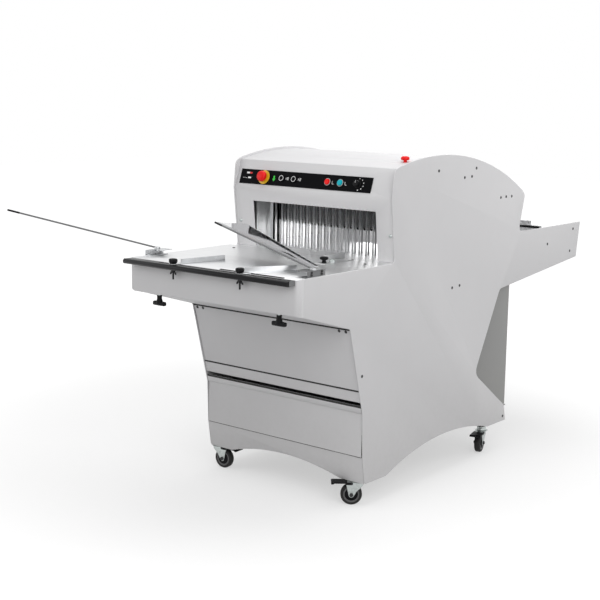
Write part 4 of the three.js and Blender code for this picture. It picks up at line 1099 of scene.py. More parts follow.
@dataclass
class ControlPanel:
    """The strip's controls, lamps and marks, placed on the fascia's upper slope."""

    face: float = 1.8
    row: float = 44.0
    stop_x: float = -223.0
    red_x: float = 71.0
    teal_x: float = 127.0
    key_x: Pair = (-138.0, -81.0)
    dial_x: float = 202.0
    dial_reach: Pair = (25.0, 21.0)
    print_depth: float = 0.15
    stop: Outline = (
        (0, -4), (8, -4), (8, 8.5), (15.5, 8.5), (18.2, 9.6), (19.8, 12.2), (20, 15.5), (19.5, 19),
        (17.6, 22.6), (14, 25.2), (9, 26.3), (4, 26.5), (0, 26.4),
    )
    plate: Outline = ((9.2, 1.4), (25.4, 1.4), (26, 1.7), (25.6, 2.1), (9.2, 2.1))
    button: Outline = ((0, -4), (10.2, -4), (10.2, 6.2), (9.8, 7.2), (8.6, 7.8), (5, 8), (0, 8))
    bezel: Outline = ((10.9, 0.1), (13.6, 0.1), (13.6, 1.8), (13.1, 3.0), (12.0, 3.4), (10.9, 2.9))
    key_head: Outline = ((0, -3), (5, -3), (5, 0.3), (11, 0.3), (11, 5.6), (10.7, 6), (8.4, 6.2), (0, 6.2))
    key_wing: Outline = ((-1.5, -6, 1.2), (1.5, -6, 1.2), (1.5, 6, 1.2), (-1.5, 6, 1.2))
    key_ring: Pair = (8.4, 10.2)
    key_top: float = 6.2
    dial_skirt: Outline = ((0, -3), (4, -3), (4, 0.3), (14, 0.3), (14, 2.2), (13, 3.4), (0, 3.4))
    dial_grip: Outline = ((0, 3), (10.8, 3), (10.6, 15), (9.6, 16.8), (7.6, 17.3), (0, 17.3))
    dial_pointer: Block = ((-0.7, 0.7), (3, 13.2), (2.5, 3.7))
    dial_line: Block = ((-0.6, 0.6), (1, 9.2), (17.1, 17.42))
    dial_angles: Pair = (80.0, -80.0)
    dot_size: float = 2.8
    dot_growth: float = 0.3
    dot_count: int = 6
    arrow: Outline = ((-3.2, 10), (-3.2, -1), (-7.2, -1), (0, -11), (7.2, -1), (3.2, -1), (3.2, 10))
    arrow_x: float = -176.0
    key_bars: Bars = ((2.2, 7, 19, 1), (7.5, 2, 27, -3), (7.5, 2, 27, 1), (7.5, 2, 27, 5))
    end_bars: Bars = (
        (14, 6.4, -303, 57), (15, 5.6, -293, 39), (4.5, 1.6, -322, 38), (4.5, 1.6, -315, 38),
        (4.5, 1.6, -308, 38),
    )
    push_bars: Bars = ((1.8, 9, 19.5, 0), (6, 1.8, 24, -6))
    red_bar: Bars = ((12, 6.4, -289.5, 57),)

    def set_on(self, shape: Shape, x: float, up: float, out: float = 0.0) -> Shape:
        """Sets a shape on the strip's face: along it, up its slope and off it by a distance."""
        return STRIP_FACE.carry(shape, x, up, self.face + out)

    def build_stop(self, shop: Workshop) -> None:
        """Makes the emergency stop: a mushroom on a stem, over a yellow plate.

        Args:
            shop: The workshop that makes the pieces.
        """
        cap = self.set_on(lathe(self.stop, 64), self.stop_x, self.row)
        shop.make("stop_cap", cap, Coat.RED, "stop", replaces=["stop_button"])
        shop.make("stop_plate", self.set_on(lathe(self.plate, 64), self.stop_x, self.row), Coat.YELLOW)

    def build_buttons(self, shop: Workshop) -> None:
        """Makes the two push buttons and their bezels.

        Args:
            shop: The workshop that makes the pieces.
        """
        cap, ring = lathe(self.button), lathe(self.bezel)
        for name, x, coat in (("red", self.red_x, Coat.RED), ("teal", self.teal_x, Coat.TEAL)):
            piece = self.set_on(cap, x, self.row)
            shop.make(f"{name}_cap", piece, coat, f"{name}_push", replaces=[f"{name}_button"])
        bezels = [self.set_on(ring, x, self.row) for x in (self.red_x, self.teal_x)]
        shop.make("button_bezels", bezels, Coat.PALE)

    def build_keys(self, shop: Workshop) -> None:
        """Makes the two key switches and the dial.

        Args:
            shop: The workshop that makes the pieces.
        """
        wing = slab(rounded(self.key_wing, 3), 5, 10.2, 0.7)
        head = Shape.joined([lathe(self.key_head, 40), wing])
        for (side, _), x in zip(SIDES, self.key_x):
            body = f"key_{side}"
            piece = self.set_on(head, x, self.row)
            shop.make(f"key_head_{side}", piece, Coat.BLACK, body, replaces=[f"key_switch_{side}"])
            ring = self.set_on(self.ring_mark(*self.key_ring), x, self.row, self.key_top)
            shop.make(f"key_ring_{side}", ring, Coat.WHITE, body, Slot.BLACK)
        grip = lathe(self.dial_grip, 96, lobes=16, lobe_share=0.035)
        dial = self.set_on(Shape.joined([lathe(self.dial_skirt), grip]), self.dial_x, self.row)
        shop.make("dial_grip", dial, Coat.BLACK, "dial", replaces=["speed_dial"])
        pointer = [box(*self.dial_pointer, 0.2), box(*self.dial_line, 0.1)]
        marks = self.set_on(Shape.joined(pointer), self.dial_x, self.row)
        shop.make("dial_pointer", marks, Coat.WHITE, "dial", Slot.BLACK)

    def ring_mark(self, inner: float, outer: float) -> Shape:
        """A thin printed ring."""
        top = self.print_depth
        return lathe([(inner, 0), (outer, 0), (outer, top), (inner, top)])

    def bars(self, table: Bars, x: float = 0.0, up: float = 0.0) -> list[Shape]:
        """Thin printed bars on the strip.

        Args:
            table: Width, height and place of each bar.
            x: Shift of their places along the strip.
            up: Shift of their places up its slope.

        Returns:
            The bars.
        """
        shapes = []
        for width, height, right, above in table:
            across, along = (-width / 2, width / 2), (-height / 2, height / 2)
            shape = box(across, along, (0, self.print_depth), 0.05)
            shapes.append(self.set_on(shape, x + right, up + above))
        return shapes

    def dot(self, size: float) -> Shape:
        """A thin printed square with rounded corners, centred.

        Args:
            size: Its width.

        Returns:
            The square.
        """
        half = size / 2
        corners = [(-half, -half, 1), (half, -half, 1), (half, half, 1), (-half, half, 1)]
        return slab(rounded(corners, 2), 0, self.print_depth)

    def build_marks(self, shop: Workshop) -> None:
        """Prints the plain marks on the strip: bars, dial points that grow round the dial, and an arrow.

        Args:
            shop: The workshop that makes the pieces.
        """
        white: list[Shape] = []
        for x in self.key_x:
            white += self.bars(self.key_bars, x, self.row)
        white += self.bars(self.end_bars)
        for x in (self.red_x, self.teal_x):
            white += self.bars(self.push_bars, x, self.row)
        wide, high = self.dial_reach
        for place, angle in enumerate(np.radians(np.linspace(*self.dial_angles, self.dot_count))):
            x, up = self.dial_x + wide * math.cos(angle), self.row + high * math.sin(angle)
            white.append(self.set_on(self.dot(self.dot_size + self.dot_growth * place), x, up))
        shop.make("strip_marks", white, Coat.WHITE)
        shop.make("strip_red_mark", self.bars(self.red_bar), Coat.DARK_RED)
        arrow = slab(rounded(self.arrow, 1), 0, self.print_depth)
        shop.make("strip_arrow", self.set_on(arrow, self.arrow_x, self.row - 2), Coat.GREEN)

    def build(self, shop: Workshop) -> None:
        """Makes every control.

        Args:
            shop: The workshop that makes the pieces.
        """
        self.build_stop(shop)
        self.build_buttons(shop)
        self.build_keys(shop)
        self.build_marks(shop)


@dataclass
class RoofStop:
    """The red mushroom on the roof, over the right side, on a short collar."""

    place: Triple = (316.0, -318.0, 1173.15)
    cap: Outline = (
        (0, -12), (6, -12), (6, 6), (11.6, 6), (14, 7.4), (15.4, 10.4), (15.3, 13), (14, 16.4), (11.2, 19),
        (6, 19.9), (0, 20),
    )

    def build(self, shop: Workshop) -> None:
        """Makes the mushroom."""
        cap = lathe(self.cap).moved(*self.place)
        shop.make("roof_stop_cap", cap, Coat.RED, "roof_stop", replaces=["roof_stop_button"])


@dataclass
class BladeUnit:
    """The two frames, each with its toothed blades, and the comb along the hood's lower edge."""

    pitch: float = 15.0
    count: int = 34
    half: float = 276.0
    bar: float = 14.0
    beam: float = 25.0
    depth: float = 18.0
    foot: float = 700.0
    top: float = 1095.0
    edge: float = 1.0
    blade_depth: float = 12.0
    blade_half_thickness: float = 0.45
    tooth: float = 7.0
    tooth_depth: float = 1.8
    tooth_steps: int = 4
    planes: tuple[tuple[str, float, int, int], ...] = (("front", -330.0, -1, 0), ("rear", -310.0, 1, 1))
    set_out: float = 8.0
    lug_x: Pair = (68.0, 78.0)
    lug_below: float = 14.0
    lug_above: float = 8.0
    stud_x: Pair = (52.0, 76.0)
    stud_z: float = 626.0
    stud_radius: float = 6.0
    finger: Outline = ((-5.2, 0), (-5.2, -6, 2), (0, -12, 3), (5.2, -6, 2), (5.2, 0))
    comb_y: float = -275.8
    comb_z: float = 925.2
    rib: Block = ((-264, 264), (-278.2, -275.8), (924, 934))

    def blades(self, y: float, first: int) -> list[Shape]:
        """Every second blade as one array. A blade's front edge lies at y - depth / 2 plus the tooth depth
        times one less the size of the sine of pi times its height over the tooth pitch, and its flanks taper
        to that edge.

        Args:
            y: The blades' middle plane, on the outer side of their frame.
            first: Index of the first blade.

        Returns:
            The blades, each as closed loops on a grid.
        """
        x = (np.arange(first, self.count, 2) - (self.count - 1) / 2) * self.pitch
        low, high = self.foot + self.beam / 2, self.top - self.beam / 2
        z = np.linspace(low, high, int((high - low) / self.tooth) * self.tooth_steps + 1)
        edge = y - self.blade_depth / 2 + self.tooth_depth * (1 - np.abs(np.sin(np.pi * z / self.tooth)))
        back = np.full_like(z, y + self.blade_depth / 2)
        flank = np.full_like(z, y - self.blade_depth / 5)
        t = self.blade_half_thickness
        points = np.empty((len(x), len(z), 5, 3))
        points[..., 0] = x[:, None, None] + np.array([0, t, t, -t, -t])
        points[..., 1] = np.stack([edge, flank, back, back, flank], axis=1)
        points[..., 2] = z[:, None]
        return [capped(blade) for blade in points]

    def frame(self, y: float, side: int) -> list[Shape]:
        """The four bars, the lug and its stud.

        Args:
            y: The frame's middle plane.
            side: 1 where the lug stands right of the middle, or -1.

        Returns:
            The frame's pieces.
        """
        across = (y - self.depth / 2, y + self.depth / 2)
        inner = self.half - self.bar
        upright, between = (self.foot, self.top), (-inner, inner)
        lug = (min(side * x for x in self.lug_x), max(side * x for x in self.lug_x))
        length, r = self.stud_x[1] - self.stud_x[0], self.stud_radius
        stud = lathe([(0, 0), (r - 0.6, 0), (r, 0.6), (r, length), (0, length)], 24)
        return [
            box((-self.half, -inner), across, upright, self.edge),
            box((inner, self.half), across, upright, self.edge),
            box(between, across, (self.foot, self.foot + self.beam), self.edge),
            box(between, across, (self.top - self.beam, self.top), self.edge),
            box(lug, across, (self.stud_z - self.lug_below, self.foot + self.lug_above), self.edge, 3.0),
            along_x(stud).moved(min(side * x for x in self.stud_x), y, self.stud_z),
        ]

    def build(self, shop: Workshop) -> None:
        """Makes both frames with their blades, and the comb at the hood's lower edge.

        Args:
            shop: The workshop that makes the pieces.
        """
        for name, y, side, first in self.planes:
            body = f"frame_{name}"
            bars = self.frame(y, side)
            shop.make(f"frame_bars_{name}", bars, Coat.FRAME, body, replaces=[f"blade_frame_{name}"])
            shop.make(f"blades_{name}", self.blades(y + side * self.set_out, first), Coat.BLADE, body)
        centres = (np.arange(self.count + 1) - self.count / 2) * self.pitch
        # Black fingers along the hood's lower edge: painted shade that gives the dark band its serrated edge.
        finger = along_y(slab(rounded(self.finger, 3), 0, 2.4, 0.3))
        fingers = [finger.moved(x, self.comb_y, self.comb_z) for x in centres]
        shop.make("hood_comb_painted_shade", [*fingers, box(*self.rib, 0.3)], Coat.BLACK, slot=Slot.DARK_POWDER)


@dataclass
class Drive:
    """The motor, its pulley, the crankshaft, the rods and the belt, seen when the door is open."""

    y: float = -40.0
    z: float = 480.3
    left: float = -70.0
    right: float = 160.0
    shell: Outline = (
        (0, 0), (58, 0), (64, 3), (66, 8), (66, 44), (64, 48), (64, 190), (66, 194), (66, 214), (60, 222),
        (30, 229), (0, 229.8),
    )
    fins: Outline = ((60, 48), (67.5, 48), (67.5, 190), (60, 190))

    def build(self, shop: Workshop) -> None:
        """Makes the ribbed motor and dresses the rest.

        Args:
            shop: The workshop that makes the pieces.
        """
        length = self.right - self.left
        middle = length / 2
        parts = [
            along_x(lathe(self.shell, 72)),
            along_x(lathe(self.fins, 144, lobes=36, lobe_share=0.034)),
            box((55, length - 55), (-55, 55), (-79.5, -50), 2.0, 4.0),
            box((middle - 39, middle + 39), (-29, 29), (55, 94), 2.0, 5.0),
            box((middle - 40, middle + 40), (-30, 30), (88, 95), 1.5, 6.0),
        ]
        motor = Shape.joined(parts).moved(self.left, self.y, self.z)
        shop.make("motor_shell", motor, Coat.MOTOR, replaces=["motor"])
        shop.dress(Coat.MACHINED, "crankshaft", "connecting_rod_front", "connecting_rod_rear", "motor_pulley")
        shop.dress(Coat.FRAME, "drive_shelf")
        shop.dress(Coat.BELT, "drive_belt")


@dataclass(frozen=True)
class Stance:
    """Where a paddle's pin stands, and the arm's heading, pitch and roll in degrees."""

    x: float
    y: float
    heading: float
    pitch: float
    roll: float


@dataclass
class Paddles:
    """The two bagging paddles and their brackets."""

    length: float = 557.0
    root: float = 50.0
    tip: float = 138.0
    start: float = 30.0
    over: float = 2.0
    hub_height: float = 7.0
    thickness: float = 1.5
    seat: float = 855.6
    left: Stance = Stance(-366.0, -843.0, 211.0, 12.2, 10.0)
    right: Stance = Stance(342.0, -855.0, 167.0, 9.8, 5.5)
    hub: Outline = (
        (0, 0), (9.6, 0), (10.5, 0.9), (10.5, 6.1), (9.8, 7), (5, 7), (4.6, 5.8), (0, 5.8),
    )
    bolt: Outline = ((0, -2), (4.2, -2), (4.2, 2.4), (3.6, 2.8), (2, 2.8), (2, 1.4), (0, 1.4))
    washer: Outline = ((4.4, 0), (9, 0), (9, 0.28), (4.4, 0.28))
    washer_drop: float = 0.29
    bracket_rim: float = 0.35
    bolt_heights: Pair = (841.5, 850.0)
    bolt_rows: tuple[tuple[int, float, Pair], ...] = (
        (-1, -375.0, (-878.0, -825.0)), (1, 351.0, (-873.0, -820.0)),
    )

    def tilt(self, shape: Shape, spot: Stance) -> Shape:
        """Rolls, pitches and lifts a shape of the arm, then turns it to its heading on its pin."""
        arm = shape.turned("X", spot.roll).turned("Y", -spot.pitch).moved(0, 0, self.hub_height / 2)
        return arm.turned("Z", spot.heading).moved(spot.x, spot.y, self.seat)

    def arm(self) -> dict[str, tuple[Shape, Coat]]:
        """The sheet, its fold and rail, the rod beneath it and the rod's end, each with its finish.

        Returns:
            The shape and finish of each piece by its name.
        """
        half, start, length = self.thickness / 2, self.start, self.length
        corners = [(start, -self.root, 14), (length, -self.tip, 8), (length, 0, 3), (start, 0, 2)]
        share = np.linspace(0.05, 0.97, 24)[:, None]
        low, high = np.array([start, -self.root, 0.0]), np.array([length, -self.tip, 0.0])
        fold = swept(low + (high - low) * share + np.array([0.0, 1.0, 0.0]), 1.25, 12)
        end = length + self.over
        cover = [(0, end - 46), (3.2, end - 46), (3.45, end - 44), (3.45, end - 1.5), (2.4, end), (0, end)]
        rail = box((start - 16, length - 1), (-19, -0.5), (half, half + 1.3), 0.5, 5.0)
        return {
            "sheet": (slab(rounded(corners, 6), -half, half, 0.5), Coat.MIRROR),
            "fold": (fold, Coat.SHEET),
            "rail": (rail, Coat.FRAME),
            "rod": (along_x(rod(3.1, 0, end - 3)), Coat.DARK_SHEET),
            "rod_end": (along_x(lathe(cover, 20)), Coat.BLACK),
        }

    def build(self, shop: Workshop) -> None:
        """Makes both arms, their hubs, the brackets, their bolts and the washers under the hubs.

        Args:
            shop: The workshop that makes the pieces.
        """
        arm = self.arm()
        hub = Shape.joined([lathe(self.hub, 40), rod(4, -8, 1, 24)])
        # The brackets are one part; the right one takes the dark steel as painted shade.
        lit_and_shaded_brackets = (Coat.SHEET, Coat.DARK_SHEET)
        for (name, _), spot, coat in zip(SIDES, (self.left, self.right), lit_and_shaded_brackets):
            body = f"paddle_{name}"
            for part, (shape, finish) in arm.items():
                replaced = [body] if part == "sheet" else ()
                shop.make(f"{body}_{part}", self.tilt(shape, spot), finish, body, replaces=replaced)
            shop.make(f"{body}_hub", hub.moved(spot.x, spot.y, self.seat), Coat.SHEET, body)
            shop.soften(f"paddle_bracket_{name}", coat, self.bracket_rim)
        bolt = lathe(self.bolt, 6)
        bolts = [
            along_x(bolt, side).moved(x, y, z)
            for side, x, row in self.bolt_rows for y in row for z in self.bolt_heights
        ]
        shop.make("bracket_bolts", bolts, Coat.SCREW)
        washer = lathe(self.washer, 32)
        low = self.seat - self.washer_drop
        washers = [washer.moved(spot.x, spot.y, low) for spot in (self.left, self.right)]
        shop.make("pin_washers", washers, Coat.ZINC)


@dataclass
class TableFurniture:
    """The guides, their clamps, the outlet guide, the lip's ends and the T-knobs."""

    table: float = 835.0
    slot_y: float = -971.3
    clearance: float = 0.3
    flat: Block = ((162, 208), (-622, -450), (0, 1.5))
    fence: Block = ((162, 163.5), (-573, -450), (0, 22))
    outlet_knob_at: Pair = (183.0, -594.0)
    outlet_nut_at: Pair = (196.0, -566.0)
    slot_under: float = 18.3
    knob_lift: float = 2.1
    clamp_x: Pair = (-161.0, 137.0)
    guide_rim: float = 0.4
    knob: Outline = (
        (0, 0), (9.3, 0), (11.7, 1.7), (13.8, 5.95), (13.95, 12.75), (12.6, 15.64), (9, 17), (0, 17),
    )
    nut: Outline = ((0, -9), (4.6, -9), (6.4, -3), (6.5, 0), (0, 0))
    wing: Outline = (
        (2.5, 0, 1), (5.5, 0, 1), (14.9, -13, 2.5), (13, -17.8, 2.5), (8.5, -15, 2.5), (2.5, -8, 2),
    )
    outlet_stem: Outline = ((0, 1), (8.4, 1), (8.4, 3), (7, 4), (6.4, 12), (0, 12))
    outlet_head: Outline = (
        (0, 11), (9, 11), (12.4, 12), (14.2, 14.4), (14.3, 18.6), (13, 21), (9, 22), (0, 22),
    )
    outlet_nut: Outline = (
        (0, 1), (9.6, 1), (10, 1.6), (10, 9), (9.2, 10), (5, 10.4), (4.6, 9.4), (0, 9.4),
    )
    lip_plate: Outline = ((-985.3, 817.6, 4), (-956.8, 817.6, 1), (-956.8, 835, 1), (-985.3, 835, 4))
    lip_ring: Outline = ((5.2, 0), (8.8, 0), (8.8, 0.9), (8.2, 1.4), (5.8, 1.4), (5.2, 0.9))
    plate_x: float = 351.1
    ring_at: Triple = (-380.4, -985.3, 826.0)
    disc_at: Triple = (-379.4, -985.3, 826.0)
    trim: Block = ((30, 300), (-951, -943), (835.05, 837.2))
    tee_neck: Outline = (
        (0, 684), (11.8, 684), (12.4, 686), (10.8, 693), (8.7, 701), (8.7, 708), (9.2, 712), (0, 712),
    )
    tee_bar: Outline = (
        (-28.5, -7, 6.5), (-9, -9, 8), (9, -9, 8), (28.5, -7, 6.5), (28.5, 7, 6.5), (9, 9, 8), (-9, 9, 8),
        (-28.5, 7, 6.5),
    )
    tee_x: float = 268.0
    tee_y: float = -930.0

    def build_clamps(self, shop: Workshop) -> None:
        """Makes each clamp: a knob with seven soft lobes, its bolt and a wing nut under the lip.

        Args:
            shop: The workshop that makes the pieces.
        """
        top = self.table
        under = top - self.slot_under
        knob = lathe(self.knob, 84, lobes=7, lobe_share=0.075).moved(0, 0, top + self.knob_lift)
        bolt = lathe([(0, top - 51), (2.6, top - 51), (3, top - 50), (3, top + 6), (0, top + 6)], 20)
        wing = along_y(slab(rounded(self.wing, 4), -1.4, 1.4, 0.7))
        nut = Shape.joined([lathe(self.nut, 24), wing, wing.turned("Z", 180)]).moved(0, 0, under)
        for (name, _), x in zip(SIDES, self.clamp_x):
            body = f"clamp_{name}"
            piece = knob.moved(x, self.slot_y)
            shop.make(f"clamp_knob_{name}", piece, Coat.BLACK, body, replaces=[f"guide_clamp_{name}"])
            shop.make(f"clamp_bolt_{name}", bolt.moved(x, self.slot_y), Coat.RAIL, body, Slot.BLACK)
            shop.make(f"clamp_nut_{name}", nut.moved(x, self.slot_y), Coat.RAIL, body, Slot.BLACK)
            shop.soften(f"table_guide_{name}", Coat.SHEET, self.guide_rim, f"guide_{name}")

    def build_outlet_guide(self, shop: Workshop) -> None:
        """Makes the angle beside the outlet, its wide knob and the nut.

        Args:
            shop: The workshop that makes the pieces.
        """
        body = "outlet_guide"
        low = self.table + self.clearance
        angle = Shape.joined([box(*self.flat, 0.4, 3.0), box(*self.fence)]).moved(0, 0, low)
        shop.make("outlet_angle", angle, Coat.TABLE, body, replaces=["outlet_guide"])
        head = lathe(self.outlet_head, 80, lobes=8, lobe_share=0.05)
        knob = Shape.joined([lathe(self.outlet_stem, 32), head])
        shop.make("outlet_knob", knob.moved(*self.outlet_knob_at, low), Coat.BLACK, body)
        nut = lathe(self.outlet_nut, 96, lobes=24, lobe_share=0.03)
        shop.make("outlet_nut", nut.moved(*self.outlet_nut_at, low), Coat.ZINC, body)

    def build_lip(self, shop: Workshop) -> None:
        """Makes the lip's dark end plate, the table's trim and the open end of the lip's round rail.

        Args:
            shop: The workshop that makes the pieces.
        """
        plate = along_x(slab(rounded(self.lip_plate, 4), 0, 1.6, 0.4)).moved(self.plate_x, 0)
        shop.make("lip_end_plate", plate, Coat.DARK_SHEET, slot=Slot.ZINC)
        shop.make("table_trim", box(*self.trim, 0.5, 1.5), Coat.BLACK, slot=Slot.RAIL)
        ring = along_x(lathe(self.lip_ring, 40)).moved(*self.ring_at)
        shop.make("lip_rod_ring", ring, Coat.RAIL)
        disc = along_x(rod(5.1, 0, 0.3, 32)).moved(*self.disc_at)
        shop.make("lip_rod_end", disc, Coat.PALE, slot=Slot.ZINC)

    def build_tees(self, shop: Workshop) -> None:
        """Makes the T-knobs: a waisted neck on a round-ended bar.

        Args:
            shop: The workshop that makes the pieces.
        """
        bar = slab(rounded(self.tee_bar, 5), 677, 691, 4.0, 4)
        grip = Shape.joined([lathe(self.tee_neck, 40), bar])
        bolt = rod(5, 700, 748)
        for name, side in SIDES:
            x, body = side * self.tee_x, f"tee_{name}"
            piece = grip.moved(x, self.tee_y)
            shop.make(f"tee_grip_{name}", piece, Coat.BLACK, body, replaces=[f"tee_knob_{name}"])
            shop.make(f"tee_bolt_{name}", bolt.moved(x, self.tee_y), Coat.ZINC, body)

    def build(self, shop: Workshop) -> None:
        """Makes everything on and under the table.

        Args:
            shop: The workshop that makes the pieces.
        """
        self.build_clamps(shop)
        self.build_outlet_guide(shop)
        self.build_lip(shop)
        self.build_tees(shop)


def mirrored(profile: Sequence[Pair]) -> list[Pair]:
    """Carries a profile on through its own mirror image across height zero, in the opposite order."""
    return [*profile, *((radius, -height) for radius, height in reversed(profile))]


@dataclass
class Casters:
    """Four braked swivel casters, drawn with the swivel axis on Z and the wheel trailing towards -X."""

    trail: float = 27.0
    radius: float = 37.5
    half_width: float = 12.0
    pivot_z: float = 78.5
    boss: float = 9.5
    boss_span: Pair = (205.0, 335.0)
    boss_steps: int = 9
    leg_rear: Outline = ((-45, 81.5, 3), (-45, 73, 8))
    leg_front: Outline = ((-9, 50, 14), (12, 70, 10), (16, 81.5, 3))
    leg_y: float = 15.0
    crown: Block = ((-45, 16), (-16.5, 16.5), (78.9, 82))
    tread_half: float = 22.2
    ear_y: float = 18.2
    spots: tuple[tuple[str, float, float, float], ...] = (
        ("front_left", -337.0, -551.0, 184.0),
        ("front_right", 321.0, -551.0, 39.0),
        ("rear_left", -317.0, 300.0, -120.0),
        ("rear_right", 301.0, 300.0, 106.0),
    )
    head: Outline = (
        (0, 81), (24, 81), (25, 81.6), (25, 82.6), (22, 83.5), (17.8, 83.7), (17.8, 90), (17.4, 90.6),
        (17.4, 92), (17.9, 92.6), (17.9, 97.6), (16.8, 99.5), (0, 99.5),
    )
    nut: Outline = ((0, 16.4), (7.2, 16.4), (7.2, 20.6), (6, 21.4), (3.6, 21.4), (3.4, 22.6), (0, 22.6))
    cross: Outline = ((0, -19.8), (2.2, -19.8), (2.5, -19.4), (2.5, 19.4), (2.2, 19.8), (0, 19.8))
    tread: Outline = (
        (-41.8, 83.3, 1), (-92, 83.3, 3), (-97.8, 82.4, 3), (-97.8, 75.8, 2.5), (-90, 75.8, 3),
        (-86, 78.9, 4), (-41.8, 78.9, 1),
    )
    ear: Outline = ((-22.2, 73.8, 5), (-22.2, 83.3, 5), (-47, 83.3, 1), (-47, 73.8, 4))

    def wheel(self) -> dict[str, Shape]:
        """The tyre, the hub and its cap, as mirrored profiles turned about the axle.

        Returns:
            The wheel's shapes by name, in the caster's own frame.
        """
        r, w = self.radius, self.half_width
        halves = {
            "tyre": [(28.4, 1.2 - w), (30, -w), (33, -w), (35.8, 1.6 - w), (r, 5 - w)],
            "ring": [(22.5, 2.6 - w), (24, 1 - w), (27.6, 1 - w), (28.5, 1.8 - w)],
            "web": [(4.4, 0.4 - w), (9, 0.4 - w), (10, 2.5 - w), (20, 5.5 - w), (22.6, 3.4 - w)],
        }
        place = (-self.trail, 0, self.radius)
        return {part: along_y(lathe(mirrored(half), 64)).moved(*place) for part, half in halves.items()}

    def fork(self) -> Shape:
        """Two tapered legs, the crown between them and the swivel head.

        Returns:
            The fork in the caster's own frame.
        """
        bottom = np.radians(np.linspace(*self.boss_span, self.boss_steps))
        boss = [
            (self.boss * math.cos(angle) - self.trail, self.radius + self.boss * math.sin(angle))
            for angle in bottom
        ]
        outline = rounded([*self.leg_rear, *boss, *self.leg_front], 2)
        leg = along_y(slab(outline, -1.5, 1.5, 0.7))
        legs = [leg.moved(0, -self.leg_y), leg.moved(0, self.leg_y)]
        return Shape.joined([*legs, box(*self.crown, 0.9, 3.0), lathe(self.head)])

    def pins(self) -> Shape:
        """The axle bolt with its nuts, and the brake's cross pin.

        Returns:
            The pins in the caster's own frame.
        """
        nut = lathe(self.nut, 6)
        bolt = Shape.joined([nut, nut.turned("X", 180), rod(4, -17, 17)])
        return Shape.joined([
            along_y(bolt).moved(-self.trail, 0, self.radius),
            along_y(lathe(self.cross, 20)).moved(-self.trail, 0, self.pivot_z),
        ])

    def pedal(self) -> Shape:
        """The tread as a bent profile with a raised tip, and two ears on the cross pin.

        Returns:
            The pedal in the caster's own frame.
        """
        tread = along_y(slab(rounded(self.tread, 4), -self.tread_half, self.tread_half, 1.2))
        ear = along_y(slab(rounded(self.ear, 5), -1.3, 1.3, 0.5))
        return Shape.joined([tread, ear.moved(0, -self.ear_y), ear.moved(0, self.ear_y)])

    def build(self, shop: Workshop) -> None:
        """Makes each caster at its place and heading.

        Args:
            shop: The workshop that makes the pieces.
        """
        wheel = self.wheel()
        pieces = (
            ("wheel_tyre", wheel["tyre"], Coat.TYRE, "wheel", None, "caster_wheel"),
            ("wheel_ring", wheel["ring"], Coat.HUB, "wheel", None, None),
            ("wheel_web", wheel["web"], Coat.BLACK, "wheel", Slot.TYRE, None),
            ("fork", self.fork(), Coat.ZINC, "fork", None, "caster_fork"),
            ("fork_pins", self.pins(), Coat.SCREW, "fork", Slot.ZINC, None),
            ("pedal", self.pedal(), Coat.BLACK, "pedal", None, "brake_pedal"),
        )
        for place, x, y, heading in self.spots:
            for name, shape, coat, body, slot, node in pieces:
                turned = shape.turned("Z", heading).moved(x, y)
                replaced = [f"{node}_{place}"] if node else ()
                shop.make(f"{name}_{place}", turned, coat, f"{body}_{place}", slot, replaced)


@dataclass
class Pusher:
    """The infeed's pusher: a folded plate with a black facing strip."""

    facing: Block = ((100, 345), (616.8, 619.9), (868, 877))

    def build(self, shop: Workshop) -> None:
        """Rounds the plate's rims and adds the facing."""
        shop.soften("pusher", Coat.TABLE, 0.5, "pusher")
        shop.make("pusher_facing", box(*self.facing, 0.8, 1.0), Coat.BLACK, "pusher")


@dataclass
class RearFittings:
    """A cable gland on the rear enclosure, with its nut."""

    place: Triple = (-250.0, 389.0, 250.0)
    nut: Outline = ((0, -2), (14, -2), (14, 5), (12.6, 6.4), (0, 6.4))
    dome: Outline = ((0, 5), (11.4, 5), (11.4, 14), (9.6, 18.4), (5.4, 20), (5, 12), (0, 12))

    def build(self, shop: Workshop) -> None:
        """Makes the gland, pointing back along +Y.

        Args:
            shop: The workshop that makes the pieces.
        """
        dome = lathe(self.dome, 96, lobes=16, lobe_share=0.02)
        gland = Shape.joined([lathe(self.nut, 6), dome])
        shop.make("cable_gland", gland.placed(self.place, x=(-1, 0, 0), y=(0, 0, 1), z=(0, 1, 0)), Coat.BLACK)


# Studio


@dataclass(frozen=True)
class Lamp:
    """A round lamp: its place and target in metres, its width and its power in watts."""

    name: str
    place: Triple
    target: Triple
    size: float
    power: float

    def hang(self) -> None:
        """Puts the lamp into the scene, aimed at its target and unseen by the camera."""
        light = bpy.data.lights.new(self.name, "AREA")
        light.shape = "DISK"
        light.size = self.size
        light.energy = self.power
        holder = place_object(self.name, light)
        holder.visible_camera = False
        holder.location = self.place
        aim = Vector(self.target) - Vector(self.place)
        holder.rotation_euler = aim.to_track_quat("-Z", "Y").to_euler()


MIDDLE = (0.2, 0.0, 0.6)
PASSAGE = (0.2, -0.3, 0.86)


